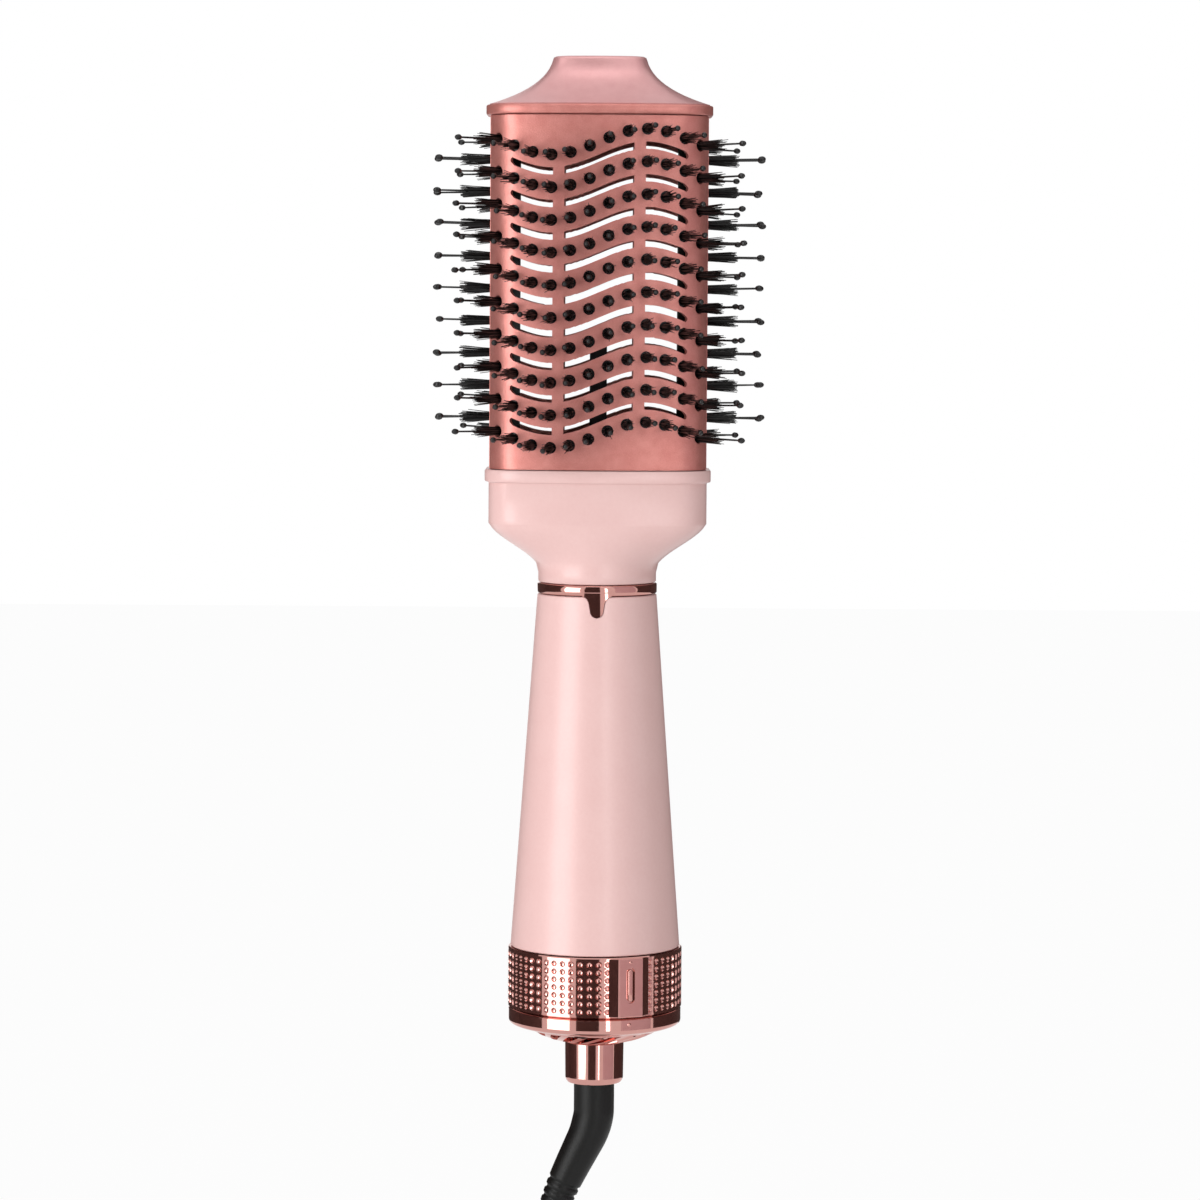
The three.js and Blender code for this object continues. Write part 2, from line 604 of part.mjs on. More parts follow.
// ---- selector ring with its grip panel, drive tab and wiper ---------------------------------
const TAB_LEVEL = SELECTOR_TOP - 5;
const TAB_HEIGHT = 3;
const TAB_WIDTH = 4;
const TAB_AZIMUTH = SELECTOR_ANGLE + 180;
const WIPER_RADIUS = CORE_RADIUS - CORE_WALL - 2.6;
const WIPER_WIDTH = 7;
const WIPER_HEIGHT = 6;
const WIPER_THICKNESS = 1.6;
const BOARD_THICKNESS = 1.6;
const LEAF_WIDTH = 6;
const LEAF_HEIGHT = 4;
const LEAF_THICKNESS = 0.5;
const LEAF_LEVEL = 5; // the leaf's middle above the foot of the selector ring

function selector() {
  const ring = tube(SELECTOR_RADIUS, SELECTOR_BORE, SELECTOR_BOTTOM, SELECTOR_TOP, 40);
  const proud = SELECTOR_RADIUS + PANEL_PROUD;
  const panel = turn(new THREE.BoxGeometry(PANEL_WIDTH, 3, SELECTOR_HEIGHT - 0.4)
    .translate(0, -proud + 1.5, (SELECTOR_TOP + SELECTOR_BOTTOM) / 2), SELECTOR_ANGLE);
  const pointer = turn(new THREE.BoxGeometry(POINTER_WIDTH, 1.2, POINTER_LENGTH)
    .translate(0, -proud, (SELECTOR_TOP + SELECTOR_BOTTOM) / 2 + 0.8), SELECTOR_ANGLE);
  const tabLength = SELECTOR_BORE + 0.5 - WIPER_RADIUS;
  const tab = turn(new THREE.BoxGeometry(TAB_WIDTH, tabLength, TAB_HEIGHT)
    .translate(0, -WIPER_RADIUS - tabLength / 2, TAB_LEVEL), TAB_AZIMUTH);
  piece('selector_ring', cut(join([ring, solid(panel), solid(tab)]), [solid(pointer)]), roseChrome);
  const wiper = turn(new THREE.BoxGeometry(WIPER_WIDTH, WIPER_THICKNESS, WIPER_HEIGHT)
    .translate(0, -WIPER_RADIUS + WIPER_THICKNESS / 2 + GAP, TAB_LEVEL), TAB_AZIMUTH);
  piece('switch_wiper', solid(wiper), steel);
}
selector();

// ---- inlet cap: core tube, rim and domed air inlet in one piece ------------------------------
const CONTACT_RADIUS = 7.5;
const CAP_HOLE = BOOT_RADIUS + GAP + 1.2 + GAP;

function inletCap() {
  const domeFoot = DOME_BOTTOM + 0.6;
  const inside = CORE_RADIUS - CORE_WALL;
  const core = turned([
    [CORE_RADIUS, CORE_TOP], [inside, CORE_TOP], [inside, RIM_BOTTOM + DOME_WALL],
    [BUSH_RADIUS + 1, domeFoot + DOME_WALL], [CAP_HOLE, domeFoot + DOME_WALL],
    [CAP_HOLE, DOME_BOTTOM], [BUSH_RADIUS + 1, DOME_BOTTOM],
    [RIM_RADIUS - 3, RIM_BOTTOM - 1.6], [RIM_RADIUS, RIM_BOTTOM + 0.8],
    [RIM_RADIUS, RIM_TOP], [CORE_RADIUS, RIM_TOP],
  ], 24);
  const flange = tube(gripRadius(CORE_TOP) - GRIP_WALL - GAP, CORE_RADIUS - 0.5, CORE_TOP - 3, CORE_TOP, 24);
  const tools = [];
  for (let vane = 0; vane < VANE_COUNT; vane += 1) {
    const degrees = (360 / VANE_COUNT) * vane;
    const opening = new THREE.BoxGeometry(1.9, 10, DOME_HEIGHT + 4);
    opening.rotateX(THREE.MathUtils.degToRad(4)).rotateZ(THREE.MathUtils.degToRad(28));
    opening.translate(0, -16.4, RIM_BOTTOM - DOME_HEIGHT / 2);
    tools.push(solid(turn(opening, degrees)));
  }
  // the window in the core tube that the selector's tab travels in
  const reach = THREE.MathUtils.degToRad(SELECTOR_TRAVEL) + (TAB_WIDTH + 3) / CORE_RADIUS;
  const start = THREE.MathUtils.degToRad(TAB_AZIMUTH - 90) - (TAB_WIDTH / 2 + 1.5) / CORE_RADIUS;
  const far = CORE_RADIUS + 0.8;
  const near = inside - 1;
  const sector = [];
  for (let i = 0; i <= 6; i += 1) {
    const angle = start + (reach * i) / 6;
    sector.push([far * Math.cos(angle), far * Math.sin(angle)]);
    sector.unshift([near * Math.cos(angle), near * Math.sin(angle)]);
  }
  tools.push(prism(sector, TAB_LEVEL - TAB_HEIGHT / 2 - 0.5, TAB_LEVEL + TAB_HEIGHT / 2 + 0.5));
  piece('inlet_cap', cut(core.add(flange), tools), roseChrome);
}
inletCap();

// A flat leaf spring between the core tube and the selector ring.
function detentSpring() {
  const level = SELECTOR_BOTTOM + LEAF_LEVEL;
  const leaf = turn(new THREE.BoxGeometry(LEAF_WIDTH, LEAF_THICKNESS, LEAF_HEIGHT)
    .translate(0, -CORE_RADIUS - GAP - LEAF_THICKNESS / 2, level), SELECTOR_ANGLE);
  piece('detent_spring', solid(leaf), steel);
}
detentSpring();

function switchBoard() {
  const inside = CORE_RADIUS - CORE_WALL;
  const z0 = TAB_LEVEL - WIPER_HEIGHT / 2 - GAP - BOARD_THICKNESS;
  const ring = tube(inside - GAP, inside - 6, z0, z0 + BOARD_THICKNESS, 24);
  piece('switch_contact_board', ring, greenBoard);
  const z1 = SELECTOR_BOTTOM + 2;
  const holes = [];
  for (let k = 0; k < 8; k += 1) {
    const hole = new THREE.BoxGeometry(5, 5, 4).translate(0, 14.5, z1);
    holes.push(solid(turn(hole, 45 * k)));
  }
  holes.push(disc(CONTACT_RADIUS + 1, z1 - 2, z1 + 2, 12));
  piece('inlet_filter', cut(disc(inside - GAP, z1 - 0.5, z1 + 0.5, 24), holes), blackNylon);
}
switchBoard();

// ---- swivel: fixed bush, turning boot with its retaining flange, contact block ----------------
const BUSH_TOP = DOME_BOTTOM - GAP;
const BUSH_BOTTOM = BUSH_TOP - BUSH_LENGTH;
const BOOT_FLANGE_Z = DOME_BOTTOM + 0.6 + DOME_WALL + 2 * GAP + 1.2;

function swivelBush() {
  const bore = BOOT_RADIUS + GAP;
  const neckTop = DOME_BOTTOM + 0.6 + DOME_WALL + GAP;
  const outline = [
    [bore, BUSH_BOTTOM], [BUSH_RADIUS - 1.6, BUSH_BOTTOM], [BUSH_RADIUS - 0.5, BUSH_BOTTOM + 1.2],
    [BUSH_RADIUS - 0.2, BUSH_BOTTOM + 5], [BUSH_RADIUS, BUSH_TOP], [bore + 1.2, BUSH_TOP],
    [bore + 1.2, neckTop], [bore, neckTop],
  ];
  piece('swivel_bush', turned(outline, 20), roseChrome);
}
swivelBush();

// The boot's centre line: straight out of the bush, a short bend to the left, then easing
// back towards the vertical under the weight of the lead.
const bootLine = new THREE.CatmullRomCurve3([
  [0, BUSH_BOTTOM + 4], [0, BUSH_BOTTOM], [0, BUSH_BOTTOM - 7], [-0.2, BUSH_BOTTOM - 11.5],
  [-1.7, BUSH_BOTTOM - 17], [-4.3, BUSH_BOTTOM - 22.5], [-7.1, BUSH_BOTTOM - 28.2],
  [-9.8, BUSH_BOTTOM - 34], [-12.2, BUSH_BOTTOM - 40], [-14.2, BUSH_BOTTOM - 46],
].map(([x, z]) => new THREE.Vector3(x, 0, z)), false, 'centripetal');

// Bends a solid of revolution, drawn as [radius, share of the line], along a curve in the XZ plane.
function bentAlong(curve, outline, segments) {
  const closed = outline[0][0] > 0 ? [...outline, outline[0]] : outline;
  const points = closed.map(([radius, share]) => new THREE.Vector2(radius, share));
  const geometry = new THREE.LatheGeometry(points, segments);
  const position = geometry.attributes.position;
  for (let segment = 0; segment <= segments; segment += 1) {
    const angle = ((segment % segments) / segments) * 2 * Math.PI;
    closed.forEach(([radius, share], k) => {
      const centre = curve.getPointAt(share);
      const along = curve.getTangentAt(share);
      const across = new THREE.Vector3(-along.z, 0, along.x);
      centre.addScaledVector(across, radius * Math.cos(angle));
      position.setXYZ(segment * closed.length + k, centre.x, radius * Math.sin(angle), centre.z);
    });
  }
  return solid(geometry);
}

function strainReliefBoot() {
  const outline = [[0, 0]];
  for (let i = 0; i <= 9; i += 1) {
    const share = i / 9;
    const slim = Math.max(0, share - 0.5) / 0.5;
    outline.push([BOOT_RADIUS - 1.9 * slim, share]);
  }
  outline.push([0, 1]);
  const boot = bentAlong(bootLine, outline, 12);
  const stem = disc(BOOT_RADIUS, BUSH_BOTTOM + 3, BOOT_FLANGE_Z + 1, 12);
  const flange = disc(CAP_HOLE + 1.5, BOOT_FLANGE_Z, BOOT_FLANGE_Z + 1.6, 16);
  piece('strain_relief_boot', join([boot, stem, flange]), blackRubber);
}
strainReliefBoot();

function swivelContactBlock() {
  const foot = BOOT_FLANGE_Z + 1.6 + GAP;
  const block = disc(CONTACT_RADIUS, foot, foot + 7, 16);
  const arms = [60, 180, 300].map((degrees) => {
    const reach = CORE_RADIUS - CORE_WALL - GAP;
    const arm = new THREE.BoxGeometry(2.4, reach - 4, 2).translate(0, 4 + (reach - 4) / 2, foot + 5);
    return solid(turn(arm, degrees));
  });
  piece('swivel_contact_block', join([block, ...arms]), whitePlastic);
}
swivelContactBlock();

// ---- fan: impeller on the motor's shaft, motor in a mount with guide vanes --------------------
const IMPELLER_BOTTOM = CORE_TOP + 2;
const IMPELLER_TOP = IMPELLER_BOTTOM + IMPELLER_HEIGHT;
const MOTOR_BOTTOM = IMPELLER_TOP + 2;
const MOTOR_TOP = MOTOR_BOTTOM + MOTOR_LENGTH;
const FAN_SEGMENTS = 16;

function fan() {
  const hub = tube(5.5, SHAFT_RADIUS + GAP, IMPELLER_BOTTOM, IMPELLER_TOP, 14);
  const blades = [];
  for (let k = 0; k < BLADE_COUNT; k += 1) {
    const blade = new THREE.BoxGeometry(1.2, IMPELLER_RADIUS - 5, IMPELLER_HEIGHT * 0.95);
    blade.rotateY(THREE.MathUtils.degToRad(32));
    blade.translate(0, 5 + (IMPELLER_RADIUS - 5) / 2, (IMPELLER_BOTTOM + IMPELLER_TOP) / 2);
    blades.push(solid(turn(blade, (360 / BLADE_COUNT) * k)));
  }
  const level = box(-30, 30, -30, 30, IMPELLER_BOTTOM, IMPELLER_TOP);
  piece('impeller', hub.add(join(blades).intersect(level)), whitePlastic);
  piece('motor_shaft', disc(SHAFT_RADIUS, IMPELLER_BOTTOM - 1, MOTOR_TOP - 4, 10), steel);

  const bore = SHAFT_RADIUS + GAP;
  const can = turned([
    [bore, MOTOR_BOTTOM - 1.2], [4, MOTOR_BOTTOM - 1.2], [4, MOTOR_BOTTOM], [MOTOR_RADIUS - 1, MOTOR_BOTTOM],
    [MOTOR_RADIUS, MOTOR_BOTTOM + 1], [MOTOR_RADIUS, MOTOR_TOP], [bore, MOTOR_TOP],
  ], FAN_SEGMENTS);
  piece('motor_can', can, steel);

  const sleeveInner = MOTOR_RADIUS + GAP;
  const mountTop = MOTOR_TOP - 6;
  const ductOuter = gripRadius(mountTop) - GRIP_WALL - GAP;
  const ductInner = Math.min(ductOuter - 1.2, IMPELLER_RADIUS + 0.8);
  const sleeve = tube(sleeveInner + 1.2, sleeveInner, MOTOR_BOTTOM + 1, mountTop, FAN_SEGMENTS);
  const duct = tube(ductInner + 1.2, ductInner, IMPELLER_BOTTOM - 1, mountTop, FAN_SEGMENTS);
  const footRadius = gripRadius(IMPELLER_BOTTOM) - GRIP_WALL - GAP;
  const foot = tube(footRadius, ductInner + 0.6, IMPELLER_BOTTOM - 1, IMPELLER_BOTTOM + 1,
    FAN_SEGMENTS);
  const vanes = [];
  for (let k = 0; k < VANES; k += 1) {
    const vane = new THREE.BoxGeometry(1.2, ductInner - sleeveInner + 0.2, 12);
    vane.translate(0, (sleeveInner + ductInner + 0.8) / 2, MOTOR_BOTTOM + 8);
    vanes.push(solid(turn(vane, (360 / VANES) * k)));
  }
  piece('motor_mount', join([sleeve, duct, foot, ...vanes]), blackNylon);
}
fan();

function electronics() {
  const z = MOTOR_TOP + GAP;
  const board = disc(MOTOR_RADIUS - 0.5, z, z + 1.6, 20);
  const capacitor = new THREE.CylinderGeometry(3, 3, 9, 10).rotateX(Math.PI / 2).translate(5, 3, z + 5.6);
  const diodes = [-7, -4, -1].map((x) => box(x, x + 1.8, -7, -2.5, z + 1.2, z + 3.4));
  piece('control_board', join([board, solid(capacitor), ...diodes]), greenBoard);
  const top = MOTOR_TOP - 6 + GAP;
  const face = MOTOR_RADIUS + 0.9;
  piece('ionizer_module', box(-6, 6, face, face + 5.2, top, top + 12), whitePlastic);
}
electronics();

// ---- heater: coil on two crossed mica boards, in an insulating sleeve --------------------------
const SLEEVE_TOP = HANDLE_SPIGOT_BOTTOM - GAP;
const SLEEVE_BOTTOM = SLEEVE_TOP - SLEEVE_LENGTH;

function heater() {
  const inner = SLEEVE_RADIUS - SLEEVE_WALL;
  const flange = gripRadius(SLEEVE_BOTTOM + 2) - GRIP_WALL - GAP;
  const sleeve = tube(SLEEVE_RADIUS, inner, SLEEVE_BOTTOM, SLEEVE_TOP, 20);
  const foot = tube(flange, inner + 0.4, SLEEVE_BOTTOM, SLEEVE_BOTTOM + 2, 20);
  piece('heater_sleeve', sleeve.add(foot), mica);

  const wide = inner - GAP;
  const narrow = COIL_RADIUS - COIL_WIRE_RADIUS - GAP;
  const z0 = SLEEVE_BOTTOM + 1;
  const z1 = SLEEVE_TOP - 1;
  const middle = (z0 + z1) / 2;
  const half = MICA_THICKNESS / 2;
  const outline = [
    [-wide, z0], [wide, z0], [wide, z0 + 3], [narrow, z0 + 3], [narrow, z1 - 3], [wide, z1 - 3],
    [wide, z1], [-wide, z1], [-wide, z1 - 3], [-narrow, z1 - 3], [-narrow, z0 + 3], [-wide, z0 + 3],
  ];
  const notch = half + GAP;
  const lower = box(-notch, notch, -5, 5, z0 - 1, middle + GAP / 2);
  piece('heater_board_wide', slab(outline, -half, half).subtract(lower), mica);
  const shape = new THREE.Shape(outline.map(([x, z]) => new THREE.Vector2(x, z)));
  const crossed = new THREE.ExtrudeGeometry(shape, { depth: MICA_THICKNESS, bevelEnabled: false });
  crossed.rotateX(Math.PI / 2).translate(0, half, 0).rotateZ(Math.PI / 2);
  const upper = box(-5, 5, -notch, notch, middle - GAP / 2, z1 + 1);
  piece('heater_board_deep', solid(crossed).subtract(upper), mica);

  const points = [];
  const steps = COIL_TURNS * 8;
  for (let i = 0; i <= steps; i += 1) {
    const angle = (i / 8) * 2 * Math.PI + Math.PI / 8;
    const z = z0 + 5 + ((z1 - z0 - 10) * i) / steps;
    const radius = COIL_RADIUS / Math.cos(Math.PI / 8);
    points.push(new THREE.Vector3(radius * Math.cos(angle), radius * Math.sin(angle), z));
  }
  const line = new THREE.CatmullRomCurve3(points, false, 'chordal');
  const wire = new THREE.Shape(Array.from({ length: 4 }, (_, k) => new THREE.Vector2(
    COIL_WIRE_RADIUS * Math.cos((k * Math.PI) / 2),
    COIL_WIRE_RADIUS * Math.sin((k * Math.PI) / 2),
  )));
  piece('heating_coil', solid(new THREE.ExtrudeGeometry(wire, { steps, extrudePath: line })), nichrome);

  const seat = half + GAP;
  piece('thermostat', box(seat, seat + 6.5, seat, seat + 6.5, middle, middle + 10), steel);
  const fuse = new THREE.CylinderGeometry(1.8, 1.8, 12, 8).rotateX(Math.PI / 2);
  piece('thermal_fuse', solid(fuse.translate(-seat - 1.8, -seat - 1.8, middle - 2)), whitePlastic);
}
heater();

// ---- mains lead, folded into a tied hank below the handle, and its plug ------------------------
function cordTube(points, steps) {
  const line = new THREE.CatmullRomCurve3(points.map(([x, y, z]) => new THREE.Vector3(x, y, z)));
  const section = new THREE.Shape(Array.from({ length: 8 }, (_, k) => new THREE.Vector2(
    (LEAD_DIAMETER / 2) * Math.cos((k * Math.PI) / 4),
    (LEAD_DIAMETER / 2) * Math.sin((k * Math.PI) / 4),
  )));
  return solid(new THREE.ExtrudeGeometry(section, { steps, extrudePath: line }));
}

const HANK_RUN_TOP = BUSH_BOTTOM - HANK_DROP - HANK_LOOP_RADIUS - LEAD_DIAMETER / 2;
const HANK_RUN_BOTTOM = HANK_RUN_TOP - HANK_RUN;
const HANK_MIDDLE = (HANK_RUN_TOP + HANK_RUN_BOTTOM) / 2;

// Half the distance between the two sides of the hank, drawn in at its tie.
function hankHalfWidth(z) {
  const away = Math.max(Math.abs(z - HANK_MIDDLE) - TIE_HEIGHT / 2, 0);
  const share = Math.min(away / (HANK_RUN / 2 - TIE_HEIGHT / 2), 1);
  return HANK_WAIST + ((HANK_LOOP_RADIUS - HANK_WAIST) * (1 - Math.cos(Math.PI * share))) / 2;
}

function hank() {
  const right = [];
  const flare = (HANK_RUN - TIE_HEIGHT) / 2;
  const heights = [0, 1 / 3, 2 / 3, 1].map((share) => share * flare);
  [...heights, ...heights.map((height) => height + flare + TIE_HEIGHT)].forEach((height) => {
    const z = HANK_RUN_BOTTOM + height;
    right.push([hankHalfWidth(z) + LEAD_DIAMETER / 2, z]);
  });
  const end = HANK_LOOP_RADIUS + LEAD_DIAMETER / 2;
  for (let i = 1; i < 4; i += 1) {
    const angle = (Math.PI / 8) * i;
    right.push([end * Math.cos(angle), HANK_RUN_TOP + end * Math.sin(angle)]);
    right.unshift([end * Math.cos(angle), HANK_RUN_BOTTOM - end * Math.sin(angle)]);
  }
  const left = right.map(([x, z]) => [-x, z]).reverse();
  const tip = [[0, HANK_RUN_TOP + end]];
  const foot = [[0, HANK_RUN_BOTTOM - end]];
  const outline = [...foot, ...right, ...tip, ...left];
  piece('cord_hank', slab(outline, -HANK_THICKNESS / 2, HANK_THICKNESS / 2), blackRubber);

  const halfTie = TIE_HEIGHT / 2;
  const inside = HANK_WAIST + LEAD_DIAMETER / 2 + GAP;
  const deep = HANK_THICKNESS / 2 + GAP;
  const band = box(-inside - TIE_THICKNESS, inside + TIE_THICKNESS, -deep - TIE_THICKNESS,
    deep + TIE_THICKNESS, HANK_MIDDLE - halfTie, HANK_MIDDLE + halfTie);
  const bore = box(-inside, inside, -deep, deep, HANK_MIDDLE - TIE_HEIGHT, HANK_MIDDLE + TIE_HEIGHT);
  piece('hank_tie', band.subtract(bore), blackNylon);
}
hank();

// The lead leaves the boot, straightens to the vertical and runs into the hank's left side.
const LEAD_Y = -HANK_THICKNESS / 2 + LEAD_DIAMETER / 2 + SURFACE_INSET;
const bootEnd = bootLine.getPointAt(1);
piece('mains_lead', cordTube([
  [bootEnd.x - 0.25, 0, bootEnd.z - 0.8], [-15.9, -0.9, BUSH_BOTTOM - 51.7],
  [-17.8, -3.6, BUSH_BOTTOM - 58.7], [-19.2, -8, BUSH_BOTTOM - 66.2], [-20, -12.8, BUSH_BOTTOM - 73.2],
  [-20.4, -16.4, BUSH_BOTTOM - 79.2], [-HANK_LOOP_RADIUS, LEAD_Y, HANK_RUN_TOP + 17.4],
], 4), blackRubber);

function plug() {
  const x = -HANK_LOOP_RADIUS;
  const y = HANK_THICKNESS / 2 - LEAD_DIAMETER / 2 - SURFACE_INSET;
  const top = HANK_RUN_BOTTOM - PLUG_DROP;
  const foot = top - PLUG_LENGTH;
  const outline = [
    [0, top], [PLUG_NECK_RADIUS, top], [PLUG_NECK_RADIUS + 0.8, top - 14],
    [PLUG_RADIUS - 1, top - 20], [PLUG_RADIUS, foot], [0, foot],
  ];
  const body = turned(outline, 16);
  piece('plug_body', body.translate([x, y, 0]), blackRubber);
  [-1, 1].forEach((side) => {
    const name = side < 0 ? 'plug_blade_left' : 'plug_blade_right';
    const blade = new THREE.BoxGeometry(BLADE_THICKNESS, BLADE_WIDTH, BLADE_LENGTH);
    blade.translate(x + (side * BLADE_SPACING) / 2, y, foot - GAP - BLADE_LENGTH / 2);
    piece(name, solid(blade), steel);
  });
}
plug();

export default model;
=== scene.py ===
import math
import random

import bmesh
import bpy
from mathutils import Matrix, Vector


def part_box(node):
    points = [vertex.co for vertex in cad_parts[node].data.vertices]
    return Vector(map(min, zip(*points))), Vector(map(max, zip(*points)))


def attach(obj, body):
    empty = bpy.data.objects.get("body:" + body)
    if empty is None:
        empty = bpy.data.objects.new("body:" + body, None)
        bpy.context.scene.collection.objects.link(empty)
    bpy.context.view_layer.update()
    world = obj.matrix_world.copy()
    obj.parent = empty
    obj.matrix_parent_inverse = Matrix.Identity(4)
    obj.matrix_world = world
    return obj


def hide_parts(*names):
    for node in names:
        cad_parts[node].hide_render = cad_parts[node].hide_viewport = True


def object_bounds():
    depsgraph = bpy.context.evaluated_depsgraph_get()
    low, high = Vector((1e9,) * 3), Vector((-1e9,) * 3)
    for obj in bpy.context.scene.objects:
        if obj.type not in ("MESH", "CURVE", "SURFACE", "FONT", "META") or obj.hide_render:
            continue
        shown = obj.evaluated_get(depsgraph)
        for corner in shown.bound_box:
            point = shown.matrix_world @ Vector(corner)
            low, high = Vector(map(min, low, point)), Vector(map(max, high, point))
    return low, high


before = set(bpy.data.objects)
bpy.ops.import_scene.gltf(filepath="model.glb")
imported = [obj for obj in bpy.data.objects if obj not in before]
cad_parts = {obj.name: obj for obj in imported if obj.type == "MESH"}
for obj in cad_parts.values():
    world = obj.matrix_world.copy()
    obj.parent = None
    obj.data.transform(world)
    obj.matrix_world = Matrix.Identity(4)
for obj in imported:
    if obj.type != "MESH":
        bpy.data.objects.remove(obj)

cad_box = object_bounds()
MM = 0.001

# ---- camera, floor and light ---------------------------------------------------------------
# A level product view from just above the brush's middle, a white sweep and tall softboxes.
# Dark flags and one pale card, seen only in reflections, give the plated parts their stripes.
EYE, LOOK_AT, ROLL = (0.001, -1.4, 0.155), (0.001, 0, 0.0552), math.radians(0.35)
FLOOR_HALF, FLOOR_GAP = 6, 0.002
LIGHT_DISTANCE, LIGHT_LEVEL, LIGHT_AIM = 1.25, 0.1, (0, 0, 0.06)
FLAG_DISTANCE, FLAG_LEVEL, FLAG_HEIGHT = 1.15, 0.1, 2.4


def placed(name, data):
    """Makes an object of some data and puts it in the scene."""
    made = bpy.data.objects.new(name, data)
    bpy.context.scene.collection.objects.link(made)
    return made


def mesh_of(name, shape):
    """Turns a worked shape into a mesh, and frees the shape."""
    data = bpy.data.meshes.new(name)
    shape.to_mesh(data)
    shape.free()
    return data


def plain(name, colour, rough):
    """An even, matt finish for what stands around the brush."""
    made = bpy.data.materials.new(name)
    made.use_nodes = True
    shader = made.node_tree.nodes["Principled BSDF"]
    shader.inputs["Base Color"].default_value = (*colour, 1)
    shader.inputs["Roughness"].default_value = rough
    return made


def either(tree, first, second):
    """A signal that is 1 where one of two others is."""
    made = tree.nodes.new("ShaderNodeMath")
    made.operation = "MAXIMUM"
    tree.links.new(first, made.inputs[0])
    tree.links.new(second, made.inputs[1])
    return made.outputs[0]


camera = placed("camera", bpy.data.cameras.new("camera"))
bpy.context.scene.camera = camera
camera.data.lens = 128.4
camera.data.clip_start = 0.05
camera.location = EYE
look = Vector(LOOK_AT) - camera.location
camera.rotation_mode = "QUATERNION"
camera.rotation_quaternion = look.to_track_quat("-Z", "Y") @ Matrix.Rotation(ROLL, 3, "Z").to_quaternion()

floor_shape = bmesh.new()
bmesh.ops.create_grid(floor_shape, x_segments=1, y_segments=1, size=FLOOR_HALF)
bmesh.ops.translate(floor_shape, vec=(0, 0, cad_box[0].z - FLOOR_GAP), verts=floor_shape.verts)
floor = placed("floor", mesh_of("floor", floor_shape))
white_paper = plain("white_paper", (0.9, 0.9, 0.9), 0.9)
floor.data.materials.append(white_paper)
sheet_tree = white_paper.node_tree
glow = sheet_tree.nodes.new("ShaderNodeEmission")
glow.inputs["Strength"].default_value = 1.0
path = sheet_tree.nodes.new("ShaderNodeLightPath")
part_white = sheet_tree.nodes.new("ShaderNodeMath")
part_white.operation = "MULTIPLY"
part_white.inputs[1].default_value = 0.95
sheet_tree.links.new(either(sheet_tree, path.outputs["Is Camera Ray"], path.outputs["Is Glossy Ray"]),
                     part_white.inputs[0])
laid = sheet_tree.nodes.new("ShaderNodeMixShader")
sheet_tree.links.new(part_white.outputs[0], laid.inputs[0])
sheet_tree.links.new(sheet_tree.nodes["Principled BSDF"].outputs[0], laid.inputs[1])
sheet_tree.links.new(glow.outputs[0], laid.inputs[2])
sheet_tree.links.new(laid.outputs[0], sheet_tree.nodes["Material Output"].inputs["Surface"])

world = bpy.data.worlds.new("studio")
bpy.context.scene.world = world
world.use_nodes = True
sky = world.node_tree
ambient = sky.nodes["Background"]
paper = sky.nodes.new("ShaderNodeBackground")
for light, strength in ((ambient, 0.5), (paper, 1.0)):
    light.inputs["Color"].default_value = (1, 1, 1, 1)
    light.inputs["Strength"].default_value = strength
rays = sky.nodes.new("ShaderNodeLightPath")
seen = either(sky, rays.outputs["Is Camera Ray"], rays.outputs["Is Transmission Ray"])
choose = sky.nodes.new("ShaderNodeMixShader")
sky.links.new(either(sky, seen, rays.outputs["Is Glossy Ray"]), choose.inputs[0])
sky.links.new(ambient.outputs[0], choose.inputs[1])
sky.links.new(paper.outputs[0], choose.inputs[2])
sky.links.new(choose.outputs[0], sky.nodes["World Output"].inputs["Surface"])


def softbox(name, azimuth, width, height, power, distance=LIGHT_DISTANCE, level=LIGHT_LEVEL):
    """A flat lamp that faces the brush; its azimuth is seen from above, 0 in front."""
    lamp = bpy.data.lights.new(name, "AREA")
    lamp.shape = "RECTANGLE"
    lamp.size, lamp.size_y, lamp.energy = width, height, power
    holder = placed(name, lamp)
    turned = math.radians(azimuth)
    holder.location = (distance * math.sin(turned), -distance * math.cos(turned), level)
    aim_at = Vector(LIGHT_AIM) - holder.location
    holder.rotation_euler = aim_at.to_track_quat("-Z", "Y").to_euler()


softbox("left_softbox", -49, 0.72, 1.3, 10.4)
softbox("right_softbox", 18, 0.11, 1.3, 1.9)
softbox("far_right_softbox", 66, 0.3, 1.3, 0.9)
softbox("top_softbox", 0, 0.9, 0.5, 2.0, distance=0.7, level=1.3)


def flag(name, azimuth, width, cloth):
    """An upright card that shows only in reflections."""
    card = bmesh.new()
    bmesh.ops.create_grid(card, x_segments=1, y_segments=1, size=0.5)
    bmesh.ops.scale(card, vec=(width, FLAG_HEIGHT, 1), verts=card.verts)
    bmesh.ops.rotate(card, matrix=Matrix.Rotation(math.pi / 2, 3, "X"), verts=card.verts)
    bmesh.ops.translate(card, vec=(0, -FLAG_DISTANCE, FLAG_LEVEL), verts=card.verts)
    bmesh.ops.rotate(card, matrix=Matrix.Rotation(math.radians(azimuth), 3, "Z"), verts=card.verts)
    made = placed(name, mesh_of(name, card))
    made.data.materials.append(cloth)
    made.visible_camera = False
    made.visible_diffuse = False
    made.visible_shadow = False


black_cloth = plain("black_cloth", (0.1, 0.065, 0.06), 1)
pale_card = plain("pale_card", (0.92, 0.8, 0.86), 1)
flag("middle_flag", -9, 0.62, black_cloth)
flag("right_card", 58, 0.95, pale_card)
for side, turns in (("left", (-97, -142)), ("right", (108, 152))):
    for number, turned in enumerate(turns):
        flag(f"{side}_flag_{number + 1}", turned, 1.0, black_cloth)

